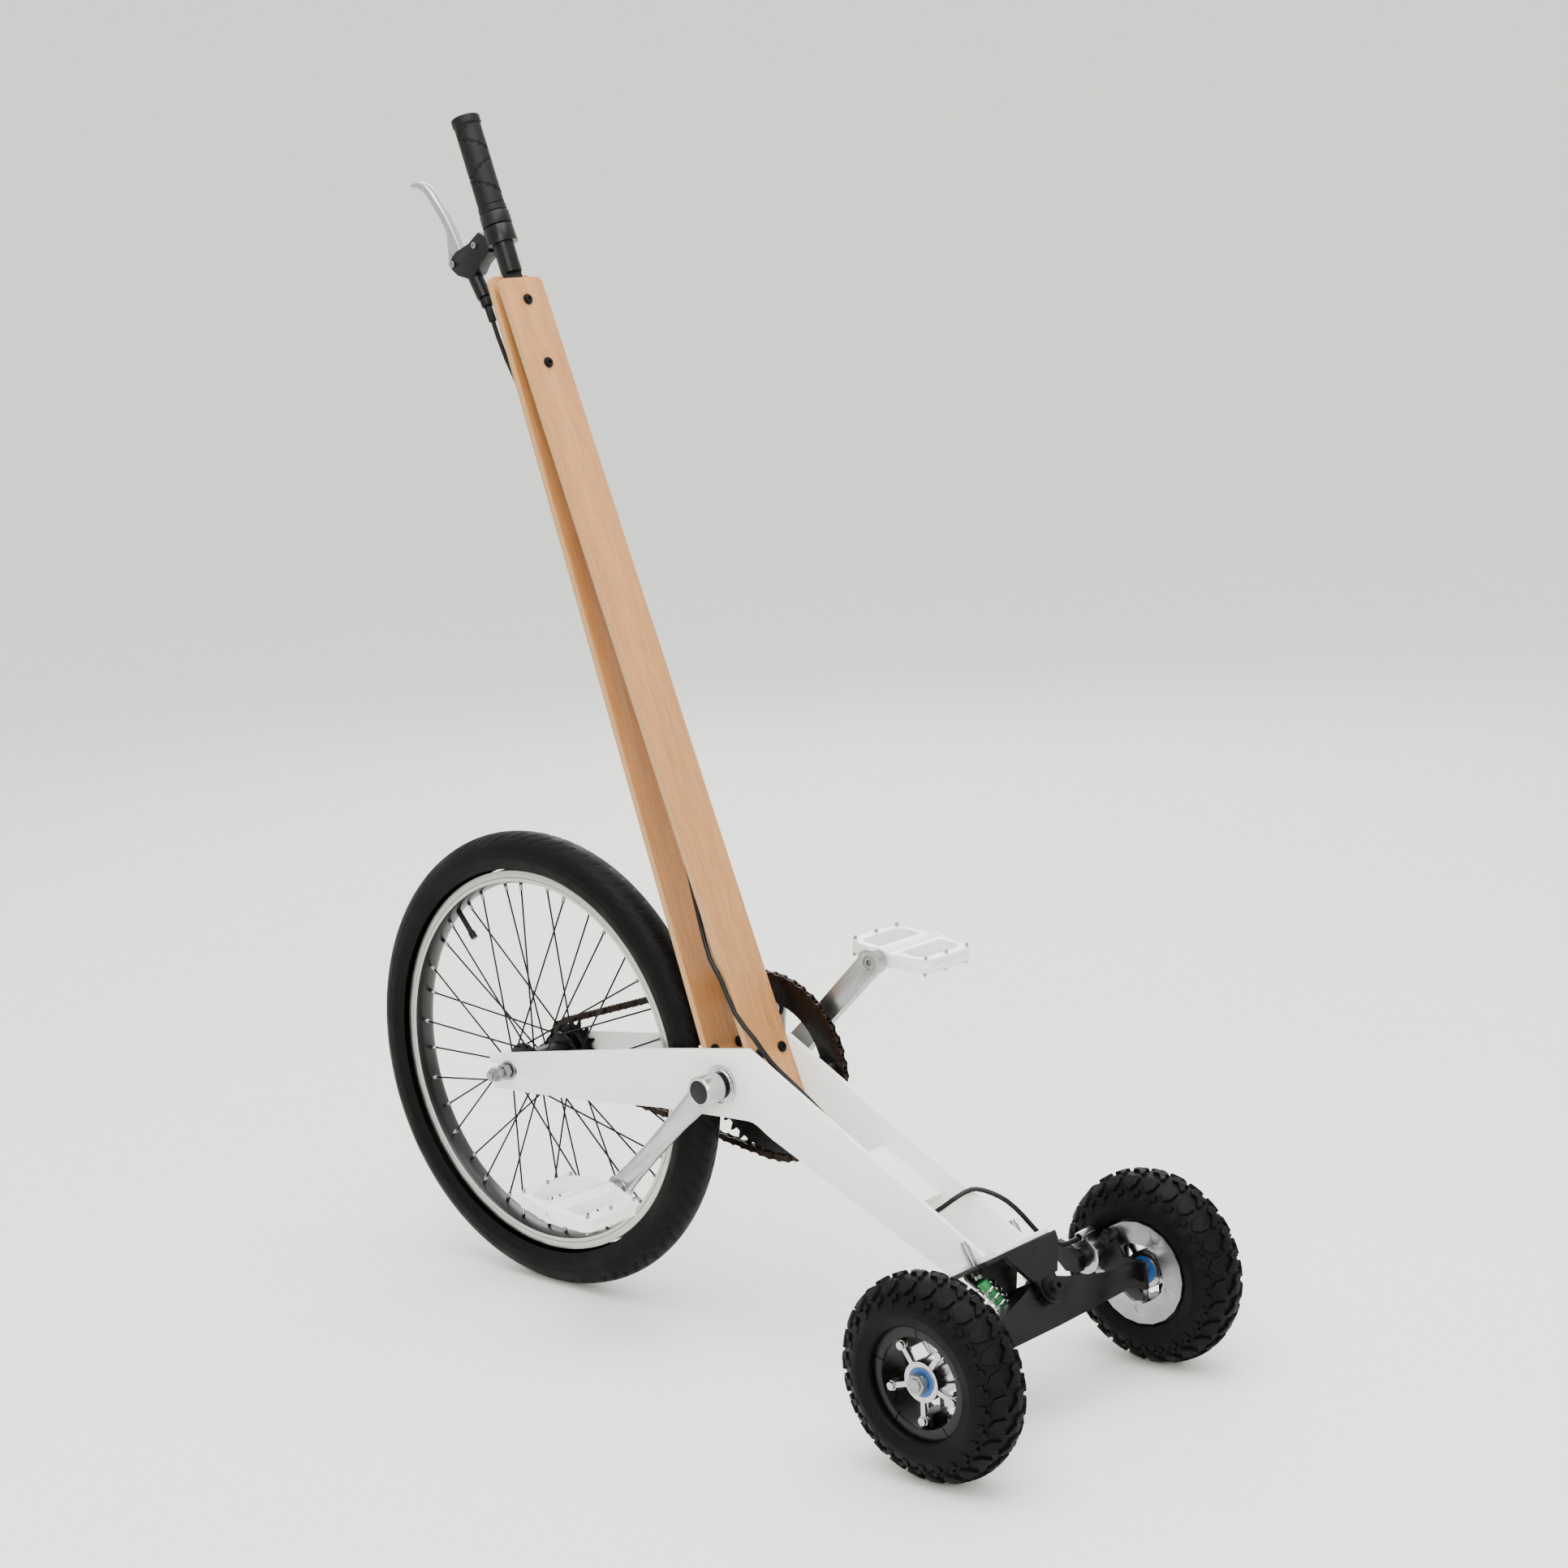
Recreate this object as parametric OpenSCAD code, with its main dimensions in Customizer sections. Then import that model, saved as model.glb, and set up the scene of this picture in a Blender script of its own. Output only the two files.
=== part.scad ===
// Stand-up, front-wheel-drive pedal trike with a lean-steer rear truck.
// Millimetres. +X forward (towards the big wheel), +Y left, +Z up, floor at z = 0.
// The origin is on the floor under the middle of the whole object.

/* [Main sizes] */
// Distance between the front and rear axles
wheelbase = 671; // [500:1:850]
// Outer radius of the front tyre
wheel_r = 251; // [180:1:330]
// Outer radius of the two rear tyres
rear_r = 98; // [80:1:120]
// Distance between the centres of the rear tyres
track = 346; // [300:1:440]
// Height of the top of the grip above the floor
grip_top = 1250; // [1000:1:1450]

/* [Frame] */
// Distance between the inner faces of the side plates at the bottom bracket
plate_gap = 57; // [50:0.5:80]
// Thickness of the side plates
plate_t = 5; // [3:0.5:8]
// Thickness of each wooden plank
plank_t = 6.8; // [5:0.1:10]
// Lean of the rear plank from upright, degrees
lean_rear = 20.5; // [15:0.5:26]
// Lean of the front plank from upright, degrees
lean_front = 17.4; // [12:0.5:20]
// Diameter of the bar tube
bar_d = 22.2; // [20:0.1:32]

/* [Drive] */
// Length of each crank, axle to axle
crank_l = 170; // [140:1:180]
// Angle of the left crank below the horizontal at rest, degrees
crank_ang = 45; // [0:1:90]
// Teeth on the chainring
ring_teeth = 48; // [38:1:52]
// Teeth on the front cog
cog_teeth = 16; // [14:1:22]
// Distance of the chain line from the right side plate's outer face
chain_gap = 9.5; // [9:0.5:14]

/* [Truck] */
// Slope of the truck's mounting plate, degrees
truck_ang = 29.5; // [20:0.5:40]
// Radius of the rear axle's thick ends
rear_axle_r = 6; // [5:0.5:8]
// Outer radius of the brake disc
disc_r = 52; // [46:0.5:54]
// Coils in each truck spring
spring_turns = 4; // [3:1:6]

/* [Part to draw] */

/* [Hidden] */
$fn = 48;
fit = 0.06;                                   // radial clearance of a shaft in its hole
half = (wheelbase + wheel_r + rear_r) / 2;    // half of the whole length
fx = half - wheel_r;                          // front axle
fz = wheel_r;
rx = rear_r - half;                           // rear axle
rz = rear_r;
pitch = 12.7;                                 // half-inch chain
bbx = fx - wheel_r - 44;                      // bottom bracket, just behind the tyre
bbz = fz + 25;
ring_r = pitch / 2 / sin(180 / ring_teeth);
cog_r = pitch / 2 / sin(180 / cog_teeth);
gi = plate_gap / 2;                           // inner face of a side plate
go = gi + plate_t;                            // outer face of a side plate
chain_y = go + chain_gap;                     // chain line, from the middle plane
bend_x = fx - 206 * wheel_r / 251;            // where the front arms start to spread
old = chain_y + 7.2;                          // half of the hub's over-locknut width
arm_ang = atan((old - gi) / (fx - bend_x));
// truck frame: local x runs forward and down along the mounting plate, local z is its normal
ua = [-cos(truck_ang), sin(truck_ang)];
wa = [-sin(truck_ang), -cos(truck_ang)];
tx = rx - 64.3 * ua[0] - 77 * wa[0];
tz = rz - 64.3 * ua[1] - 77 * wa[1];
spring_y = go + 4.3;                          // spring bolts pass just outside the side plates
pivot_w = 53;                                 // pivot axis below the mounting plane
ax_u = 64.3;
ax_w = 77;
tyre_y = track / 2;
beam_y = tyre_y - 31;                         // end of the hanger's arm
// planks: the outer faces pass through these points at the top of the post
post_x = fx - 32;                             // middle of the post at its top
post_z = grip_top - 164;
plank_gap_top = 6.8;
half_stack = plank_gap_top / 2 + plank_t;
post_ang = (lean_rear + lean_front) / 2;
// the front plank's foot stops short of the bottom bracket, the rear one's passes behind it
foot_front = (post_z - bbz - 12) / cos(lean_front);
foot_rear = (post_z - bbz + 14) / cos(lean_rear);
hs = half_stack / cos(post_ang);
// how far down a face that leans l, g in front of the rear plank, a bolt square to the rear plank crosses it
function bolt_t(z, g, l, b) = let (d = lean_rear - l) (g * cos(l) + z * sin(d) - b) / cos(d);
function drop(z, g, l, b) = let (d = lean_rear - l) g * sin(l) + z * cos(d) + bolt_t(z, g, l, b) * sin(d);
bar_len = (grip_top - post_z) / cos(post_ang);
pedal_tilt = 6.5;

module at_bb(t) translate([bbx, 0, bbz]) rotate([0, -t, 0]) children();
module at_truck() translate([tx, 0, tz]) rotate([0, truck_ang, 0]) children();
// a profile drawn in X and Z, pushed out along Y from y0 to y1
module xz(y0, y1) translate([0, y1, 0]) rotate([90, 0, 0]) linear_extrude(y1 - y0) children();
// a shaft along Y
module ycyl(r, y0, y1, x = 0, z = 0) translate([x, y0, z]) rotate([-90, 0, 0]) cylinder(r = r, h = y1 - y0);
// a shaft between two points
module rod(a, b, r) {
  d = b - a;
  l = norm(d);
  translate(a) rotate([0, acos(d[2] / l), atan2(d[1], d[0])]) cylinder(r = r, h = l);
}
module flip(s) if (s > 0) children(); else mirror([0, 1, 0]) children();

// ---------- frame ----------
slope_top = [bbx - 37.7, bbz + 42];
end_top = [tx, tz] + 51.5 * ua;
outline = [[fx + 26, fz + 15], slope_top, end_top, [tx, tz],
  [bbx - 76, bbz - 51.7], [bbx - 66, bbz - 47.4], [bbx - 56, bbz - 42], [bbx - 47, bbz - 36.6],
  [bbx - 40, bbz - 33.8], [bbx - 33, bbz - 33.2], [bbx - 9, bbz - 34],
  [fx - 190 * wheel_r / 251, fz - 14.8], [fx - 80, fz - 20.6], [fx + 24, fz - 22.5]];
slope_dir = (end_top - slope_top) / norm(end_top - slope_top);
slope_down = [-slope_dir[1], slope_dir[0]];
function arm(x) = (x - bend_x) / cos(arm_ang);
module side_plate(s) color("white") flip(s) {
  difference() {
    xz(gi, go) intersection() {
      polygon(outline);
      translate([bend_x - 2000, -500]) square([2000, 2000]);
    }
    ycyl(17.6, gi - 1, go + 1, bbx, bbz);
  }
  translate([bend_x, gi, 0]) rotate([0, 0, arm_ang]) difference() {
    xz(0, plate_t) intersection() {
      polygon([for (p = outline) [arm(p[0]), p[1]]]);
      translate([0, -500]) square([2000, 2000]);
    }
    ycyl(5.3, -1, plate_t + 1, arm(fx) - 6, fz);
    translate([arm(fx) - 6, -1, fz - 5.3]) cube([60, plate_t + 2, 10.6]);
  }
}
module side_plate_left() side_plate(1);
module side_plate_right() side_plate(-1);
module cross_panel() color("white") {
  a = slope_top + 151.5 * slope_dir + 25.8 * slope_down;
  b = slope_top + 232.4 * slope_dir + 22.3 * slope_down;
  f = atan2(a[1] - b[1], a[0] - b[0]);
  l = norm(a - b);
  translate([b[0], 0, b[1]]) rotate([0, -f, 0]) {
    translate([0, -gi, -2.5]) cube([l, plate_gap, 2.5]);
    translate([0, -gi, -5]) cube([2.5, plate_gap, 3]);
    translate([l - 2.5, -gi, -5]) cube([2.5, plate_gap, 3]);
  }
}
mount_w = go + 6.5;                           // half width of the mounting plate
module mount_outline() polygon([for (s = [-1, 1]) for (p = [[-78, -3], [-75, 0], [1, 0], [4, -3]])
  let (q = s > 0 ? [-74 - p[0], p[1]] : p) [q[0], s * (mount_w + q[1])]]);
module mount_plate() color("white") at_truck() difference() {
  translate([0, 0, -5]) linear_extrude(5) mount_outline();
  for (s = [-1, 1]) {
    // open notch round a spring bolt, and two thin slots
    translate([0, 0, -6]) linear_extrude(8) polygon([[-53, s * (mount_w + 1)], [-48, s * go], [-32, s * go],
      [-27, s * (mount_w + 1)]]);
    for (x = [-71, -12]) translate([x - 1, s * 22 - 7, -6]) cube([2, 14, 8]);
  }
}
module post_brackets() color("white") {
  translate([post_x - hs, 0, post_z]) rotate([0, lean_rear, 0])
    difference() {
      translate([plank_t, -gi, -foot_rear + 12]) cube([4, plate_gap, 45]);
      for (s = [-1, 1]) translate([plank_t - 1, s * 16.5, -foot_rear + 50]) rotate([0, 90, 0]) cylinder(r = 3.05, h = 6);
    }
  translate([post_x + hs, 0, post_z]) rotate([0, lean_front, 0])
    difference() {
      translate([0, -gi, -foot_front - 2]) cube([4, plate_gap, 26]);
      for (s = [-1, 1]) translate([-1, s * 18, -foot_front + 16]) rotate([0, 90, 0]) cylinder(r = 3.05, h = 6);
    }
}
module bb_shell() color("white") difference() {
  ycyl(20, -gi, gi, bbx, bbz);
  ycyl(17.5, -gi - 1, gi + 1, bbx, bbz);
}
module bb_cups() color("silver") for (s = [-1, 1]) flip(s) difference() {
  union() {
    ycyl(17.45, 8, go + 0.1, bbx, bbz);
    ycyl(20.2, go + 0.1, go + 3.2, bbx, bbz);
    ycyl(17, go + 3.2, go + 5.4, bbx, bbz);
  }
  ycyl(8.5 + fit, 7, go + 7, bbx, bbz);
}

// ---------- post ----------
module plank(len, bolt_y, bolt_z, cable_z, top, top_r) difference() {
  rotate([0, 90, 0]) linear_extrude(plank_t) difference() {
    union() {
      translate([7, -gi]) square([len - 7, plate_gap]);
      translate([0, -gi + 7]) square([8, plate_gap - 14]);
      for (s = [-1, 1]) translate([7, s * (gi - 7)]) circle(r = 7);
    }
    for (z = top) translate([z, 0]) circle(r = top_r);
    for (s = [-1, 1]) translate([bolt_z, s * bolt_y]) circle(r = 3.05);
    // slot that lets the brake cable slant through
    if (cable_z > 0) {
      for (z = [-22, 16]) translate([cable_z + z, -8]) circle(r = 5);
      translate([cable_z - 22, -13]) square([38, 10]);
    }
  }
}
cable_hole = (post_z - 846) / cos(lean_front);
module plank_rear() color("burlywood")
  translate([post_x - hs, 0, post_z]) rotate([0, lean_rear, 0])
    plank(foot_rear, 16.5, foot_rear - 50, 0, [24, 93], 3.05);
module plank_front() color("burlywood")
  translate([post_x + hs, 0, post_z]) rotate([0, lean_front, 0])
    translate([-plank_t, 0, 0]) plank(foot_front, 18, foot_front - 16, cable_hole,
      [drop(24, 2 * hs, lean_front, plank_t / 2), drop(93, 2 * hs, lean_front, plank_t / 2)], 3.7);
// a button-head bolt along local X, head towards -X
module bolt(l) {
  difference() {
    union() {
      translate([-1.5, 0, 0]) rotate([0, 90, 0]) cylinder(r = 5.6, h = 1.45);
      translate([-3.2, 0, 0]) rotate([0, 90, 0]) cylinder(r = 4.2, h = 1.8);
      translate([-0.1, 0, 0]) rotate([0, 90, 0]) cylinder(r = 3, h = l);
    }
    translate([-3.5, 0, 0]) rotate([0, 90, 0]) cylinder(r = 2.2, h = 2.2, $fn = 6);
  }
}
module hexnut(x0) translate([x0, 0, 0]) rotate([0, 90, 0]) difference() {
  cylinder(r = 5.6, h = 4.5, $fn = 6);
  translate([0, 0, -1]) cylinder(r = 2.95, h = 7);
}
module plank_bolts() color("#222222") {
  translate([post_x - hs, 0, post_z]) rotate([0, lean_rear, 0]) {
    for (s = [-1, 1]) translate([-0.05, s * 16.5, -foot_rear + 50]) {
      bolt(plank_t + 9);
      hexnut(plank_t + 4.1);
    }
    for (z = [24, 93]) let (t = bolt_t(z, 2 * hs, lean_front, 0)) translate([-0.05, 0, -z]) {
      bolt(t + 6);
      hexnut(t + 0.6);
    }
  }
  translate([post_x + hs, 0, post_z]) rotate([0, lean_front, 0])
    for (s = [-1, 1]) translate([-plank_t - 0.05, s * 18, -foot_front + 16]) {
      bolt(plank_t + 9);
      hexnut(plank_t + 4.1);
    }
}
// bar frame: local z runs up the bar, its zero is at the top of the planks
module at_bar() translate([post_x, 0, post_z]) rotate([0, post_ang, 0]) children();
module bar_tube() color("#1b1b1b") at_bar() {
  difference() {
    translate([0, 0, 5]) cylinder(d = bar_d, h = bar_len - 9);
    translate([0, 0, 9]) cylinder(d = bar_d - 4, h = bar_len);
  }
  // a flat tongue between the planks
  difference() {
    translate([-2.6, -11, -112]) cube([5.2, 22, 118]);
    for (z = [24, 93]) translate([-4, 0, -drop(z, hs, post_ang, 0)]) rotate([0, 90, 0]) cylinder(r = 4, h = 8);
  }
}
grip_len = 104;
grip_r = bar_d / 2 + 3;
module grip() color("#202020") at_bar() difference() {
  union() {
    translate([0, 0, bar_len - grip_len]) cylinder(r = grip_r, h = grip_len);
    translate([0, 0, bar_len - 9]) cylinder(r = grip_r + 1.1, h = 9);
    translate([0, 0, bar_len - grip_len]) cylinder(r = grip_r + 0.7, h = 7);
  }
  translate([0, 0, bar_len - grip_len - 1]) cylinder(d = bar_d + 0.1, h = grip_len - 3);
}
module grip_lock_ring() color("#262626") at_bar() difference() {
  translate([0, 0, bar_len - grip_len - 13.5]) cylinder(r = grip_r + 1.6, h = 13.2);
  translate([0, 0, bar_len - grip_len - 15]) cylinder(d = bar_d + 0.1, h = 17);
}
clamp_z = bar_len - grip_len - 33;            // bottom of the lever clamp
pvx = post_x + 82;                            // lever pivot
pvz = post_z + 17;
lever_slot = 5;
module lever_perch() color("#181818") {
  at_bar() difference() {
    translate([0, 0, clamp_z]) cylinder(r = grip_r + 1.9, h = 18);
    translate([0, 0, clamp_z - 1]) cylinder(d = bar_d + 0.1, h = 20);
  }
  difference() {
    union() {
      // arm that reaches forward to the lever
      xz(-8, 8) polygon([[pvx - 42, pvz + 31], [pvx - 33, pvz + 25], [pvx - 26, pvz + 20], [pvx - 5, pvz + 12],
        [pvx + 4, pvz + 4], [pvx + 3, pvz - 5], [pvx - 6, pvz - 12], [pvx - 22, pvz - 16], [pvx - 33, pvz - 12],
        [pvx - 41, pvz - 2], [pvx - 48, pvz + 3], [pvx - 57, pvz + 10], [pvx - 53, pvz + 26]]);
      // cable stop, pointing down along the post
      rod([pvx - 21, 0, pvz - 8], [pvx - 37, 0, pvz - 36], 8);
    }
    translate([pvx - 23, -lever_slot, pvz - 30]) cube([40, lever_slot * 2, 60]);
    rod([pvx - 15, 0, pvz + 4], [pvx - 43, 0, pvz - 46.5], 2.6);
    ycyl(2.6, -9, 9, pvx, pvz);
    at_bar() translate([0, 0, clamp_z - 1]) cylinder(d = bar_d + 0.1, h = 20);
  }
}
module perch_screws() color("silver") {
  difference() {
    union() {
      ycyl(2.5, -8.2, 8.3, pvx, pvz);
      ycyl(4, 8.3, 10, pvx, pvz);
    }
    translate([pvx, 11, pvz]) rotate([90, 0, 0]) cylinder(r = 1.6, h = 1.9, $fn = 6);
  }
  difference() {
    ycyl(3.4, 8.1, 10.5, pvx - 36, pvz + 18);
    translate([pvx - 36, 11.5, pvz + 18]) rotate([90, 0, 0]) cylinder(r = 1.8, h = 2, $fn = 6);
  }
}
module brake_lever() color("silver") difference() {
  xz(-4.6, 4.6) polygon([for (p = [[9, -4], [11, 2], [11, 15], [11.4, 30], [14, 38], [20, 47], [27, 56], [34, 66],
    [42, 75], [52, 80], [61, 80.5], [63.5, 82.5], [61, 85], [56.5, 86.4], [50, 86.6], [42, 84.5], [38, 82], [31, 75],
    [25, 67.5], [19, 60], [12.5, 52], [5, 40], [-1, 29], [-6, 20], [-9.5, 12], [-12, 3], [-10, -3], [-4, -7],
    [4, -7]]) [pvx + p[0], pvz + p[1]]]);
  ycyl(2.5 + fit, -6, 6, pvx, pvz);
}
module cable_boot() color("#151515") {
  a = [pvx - 37.3, 0, pvz - 36.5];
  b = [pvx - 48, 1, pvz - 60.4];
  difference() {
    union() {
      rod(a, a + 0.35 * (b - a), 6.4);
      rod(a + 0.35 * (b - a), b, 4.2);
    }
    rod(a - 0.1 * (b - a), b + 0.1 * (b - a), 2.75);
  }
}
// brake cable: a tube swept along hand-placed points
cable_pts = [[pvx - 38, 0, pvz - 38], [pvx - 48, 1, pvz - 60.4], [pvx - 66, 3, pvz - 98], [post_x - 27, 1, 925],
  [post_x - 48, -6, 880], [post_x - 68, -8, 846], [post_x - 92, -8, 815], [post_x - 102, -8, 790], [post_x - 129, -7, 710],
  [post_x - 164, -3, 610], [post_x - 203, 6, 500], [post_x - 229, 17, 440], [post_x - 251, 28.5, 405],
  [post_x - 268, 31.8, 385], [post_x - 286, 32.2, 352], [post_x - 306, 28, 328], [post_x - 320, 21, 305],
  [post_x - 337, 14, 287], [post_x - 355, 8, 270], [post_x - 385, 3, 243], [post_x - 417, 0, 210], [post_x - 439, 0, 195],
  [post_x - 467, 0, 179], [post_x - 489, 0, 170.5], [post_x - 503, -3, 175], [post_x - 517, -13, 187],
  [post_x - 526, -24, 194.5], [post_x - 533, -32, 196.5], [post_x - 545, -40, 192.5], [post_x - 558, -48, 184],
  [post_x - 568, -58, 169], [post_x - 579, -69, 149], [post_x - 584, -80, 139], [post_x - 588, -92, 133],
  [post_x - 592, -106, 133.5], [post_x - 593.5, -121, 135.1]];
function seg_pt(p, i, t) = let (n = len(p), a = p[max(0, i - 1)], b = p[i], c = p[min(n - 1, i + 1)], d = p[min(n - 1, i + 2)])
  0.5 * ((2 * b) + (c - a) * t + (2 * a - 5 * b + 4 * c - d) * t * t + (3 * b - a - 3 * c + d) * t * t * t);
function smooth(p, m) = [for (i = [0:len(p) - 2]) for (k = [0:m - 1]) seg_pt(p, i, k / m), p[len(p) - 1]];
function unit(v) = v / norm(v);
module sweep(p, r, n) {
  m = len(p);
  tan = [for (i = [0:m - 1]) unit(p[min(m - 1, i + 1)] - p[max(0, i - 1)])];
  side = [for (t = tan) unit(cross(t, [0, 1, 0.02]))];
  pts = [for (i = [0:m - 1]) for (k = [0:n - 1])
    p[i] + r * (cos(360 * k / n) * side[i] + sin(360 * k / n) * cross(tan[i], side[i]))];
  faces = concat(
    [for (i = [0:m - 2]) for (k = [0:n - 1]) [i * n + k, i * n + (k + 1) % n, (i + 1) * n + (k + 1) % n]],
    [for (i = [0:m - 2]) for (k = [0:n - 1]) [i * n + k, (i + 1) * n + (k + 1) % n, (i + 1) * n + k]],
    [[for (k = [n - 1:-1:0]) k]], [[for (k = [0:n - 1]) (m - 1) * n + k]]);
  polyhedron(pts, faces, convexity = 10);
}
module brake_cable() color("#101010") sweep(smooth(cable_pts, 2), 2.5, 8);

// ---------- front axle ----------
module front_axle() color("silver") ycyl(5, -old - 22.8, old + 22.8, fx, fz);
module axle_nuts() color("silver") for (s = [-1, 1]) flip(s) {
  // locknut between hub and plate, washer on the plate, then nut and cap
  difference() {
    union() {
      ycyl(7.5, old - 4.2, old - 1.1, fx, fz);
      translate([fx, go + (fx - bend_x) * tan(arm_ang) + 2.6, fz]) rotate([-90, 0, 0]) cylinder(r = 8.6, h = 8, $fn = 6);
      translate([fx, old + 20.8, fz]) rotate([-90, 0, 0]) cylinder(r = 8.2, h = 6, $fn = 6);
      ycyl(6.4, old + 26.8, old + 30.8, fx, fz);
      ycyl(4.4, old + 30.8, old + 33, fx, fz);
    }
    ycyl(5, 40, old + 23.8, fx, fz);
  }
  translate([bend_x, gi, 0]) rotate([0, 0, arm_ang]) translate([arm(fx) + (plate_t + 0.8) * tan(arm_ang), plate_t + 0.02, fz]) rotate([-90, 0, 0])
    difference() {
      cylinder(r = 10.5, h = 1.6);
      translate([0, 0, -1]) cylinder(r = 5.7, h = 4);
    }
}

// ---------- drive ----------
module bb_spindle() color("#444444") {
  ycyl(8.5, -go - 11, go + 11, bbx, bbz);
  for (s = [-1, 1]) flip(s) {
    ycyl(12.5, go + 5.8, go + 10, bbx, bbz);
    ycyl(6.4, go + 11, go + 24, bbx, bbz);
  }
}
cr_in = go + 10.5;                            // inner face of a crank's boss
eye_in = go + 28;                             // inner face of a crank's pedal eye
eye_out = eye_in + 12.5;
module crank_solid() {
  ycyl(15.5, cr_in, cr_in + 24, 0, 0);
  ycyl(13.5, eye_in, eye_out, crank_l, 0);
  translate([0, cr_in + 9, 0]) rotate([0, 0, asin((eye_in - cr_in - 9) / crank_l)]) xz(0, 12)
    polygon([[4, -14], [30, -13], [90, -11.5], [crank_l, -12], [crank_l, 12], [90, 11.5], [30, 13], [4, 14]]);
}
module crank_cuts() {
  ycyl(6.5, cr_in - 1, cr_in + 16, 0, 0);
  ycyl(8.52, cr_in - 1, cr_in + 0.6, 0, 0);
  ycyl(11.8, cr_in + 18, cr_in + 26, 0, 0);
  ycyl(7, eye_in - 2, eye_out + 2, crank_l, 0);
}
module crank_left() color("silver") at_bb(-crank_ang) difference() {
  crank_solid();
  crank_cuts();
}
module crank_right() color("silver") at_bb(180 - crank_ang) mirror([0, 1, 0]) difference() {
  union() {
    crank_solid();
    xz(chain_y + 1.15, chain_y + 6.5) difference() {
      union() {
        circle(r = 21);
        for (k = [0:4]) rotate(-72 * k - 36) polygon([[12, -9.5], [40, -8.5], [58, -8], [70, -8], [73, -4], [73, 4], [70, 8],
          [58, 8], [40, 8.5], [12, 9.5]]);
      }
      for (k = [0:4]) rotate(-72 * k - 36) translate([65, 0]) circle(r = 4.1);
    }
  }
  crank_cuts();
}
module crank_caps() color("#1a1a1a") for (s = [-1, 1]) flip(s) ycyl(11.7, cr_in + 18.1, cr_in + 23.5, bbx, bbz);
function teeth(n, r, ph) = [for (k = [0:n - 1]) for (q = [[-0.29, -4.2], [-0.16, 0.6], [-0.07, 3.4], [0.07, 3.4], [0.16, 0.6], [0.29, -4.2]])
  let (a = ph + 360 * (k + 0.5 + q[0]) / n) (r + q[1]) * [cos(a), sin(a)]];
// the chain's path: a belt round both pitch circles
cdist = norm([fx - bbx, fz - bbz]);
cdir = atan2(fz - bbz, fx - bbx);             // from the chainring to the cog
wrap = asin((ring_r - cog_r) / cdist);
run = cdist * cos(wrap);
arc1 = ring_r * (180 + 2 * wrap) * PI / 180;
arc2 = cog_r * (180 - 2 * wrap) * PI / 180;
chain_l = arc1 + arc2 + 2 * run;
link1 = ring_r * 2 * PI / ring_teeth;
link2 = cog_r * 2 * PI / cog_teeth;
on_ring = [for (k = [0:floor(arc1 / link1)]) k * link1];
on_cog = [for (k = [0:floor(arc2 / link2)]) arc1 + run + k * link2];
function fill(a, b) = let (n = round((b - a) / pitch)) [for (k = [1:n - 1]) a + k * (b - a) / n];
rollers = concat(on_ring, fill(on_ring[len(on_ring) - 1], on_cog[0]), on_cog, fill(on_cog[len(on_cog) - 1], chain_l));
// where the chain leaves the ring at the top, measured from the direction to the cog
a_up = cdir + 90 - wrap;
function on_chain(s, o) = let (q = s - chain_l * floor(s / chain_l))
  q < arc1 ? let (a = a_up + q / ring_r * 180 / PI) [bbx, bbz] + (ring_r + o) * [cos(a), sin(a)] :
  q < arc1 + run ? let (a = a_up + 180 + 2 * wrap, t = q - arc1) [bbx, bbz] + (ring_r + o) * [cos(a), sin(a)] + t * [-sin(a), cos(a)] :
  q < arc1 + run + arc2 ? let (a = a_up + 180 + 2 * wrap + (q - arc1 - run) / cog_r * 180 / PI) [fx, fz] + (cog_r + o) * [cos(a), sin(a)] :
  let (t = q - arc1 - run - arc2) [fx, fz] + (cog_r + o) * [cos(a_up), sin(a_up)] + t * [-sin(a_up), cos(a_up)];
module chain() color("#4a3a30") {
  for (y = [[2.3, 3.6], [-3.6, -2.3]]) translate([0, -chain_y, 0]) xz(y[0], y[1]) difference() {
    polygon([for (q = rollers) on_chain(q, 4.1)]);
    polygon([for (q = rollers) on_chain(q, -4.1)]);
  }
  for (q = rollers) let (p = on_chain(q, 0)) ycyl(3.2, -chain_y - 3, -chain_y + 3, p[0], p[1], $fn = 16);
}
module chainring() color("#161616") difference() {
  translate([bbx, -chain_y, bbz]) xz(-1.1, 1.1) difference() {
    union() {
      difference() {
        polygon(teeth(ring_teeth, ring_r, a_up));
        circle(r = 69);
      }
      for (k = [0:4]) rotate(180 - crank_ang - 72 * k - 36) translate([65, 0]) circle(r = 9);
    }
    for (k = [0:4]) rotate(180 - crank_ang - 72 * k - 36) translate([65, 0]) circle(r = 4.1);
  }
}
module chainring_bolts() color("silver") at_bb(180 - crank_ang) mirror([0, 1, 0])
  for (k = [0:4]) rotate([0, 72 * k + 36, 0]) {
    ycyl(4.08, chain_y - 1.2, chain_y + 6.6, 65, 0);
    ycyl(6, chain_y - 2.6, chain_y - 1.15, 65, 0);
    ycyl(6, chain_y + 6.55, chain_y + 8.2, 65, 0);
  }
module front_cog() color("#3a3a3a") difference() {
  union() {
    translate([fx, -chain_y, fz]) xz(-1.1, 1.1) difference() {
      polygon(teeth(cog_teeth, cog_r, a_up + 180 + 2 * wrap));
      circle(r = 20);
    }
    ycyl(24, -chain_y - 1.6, -chain_y + 9, fx, fz);
  }
  ycyl(17 + fit, -chain_y - 4, -chain_y + 10, fx, fz);
}
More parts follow.
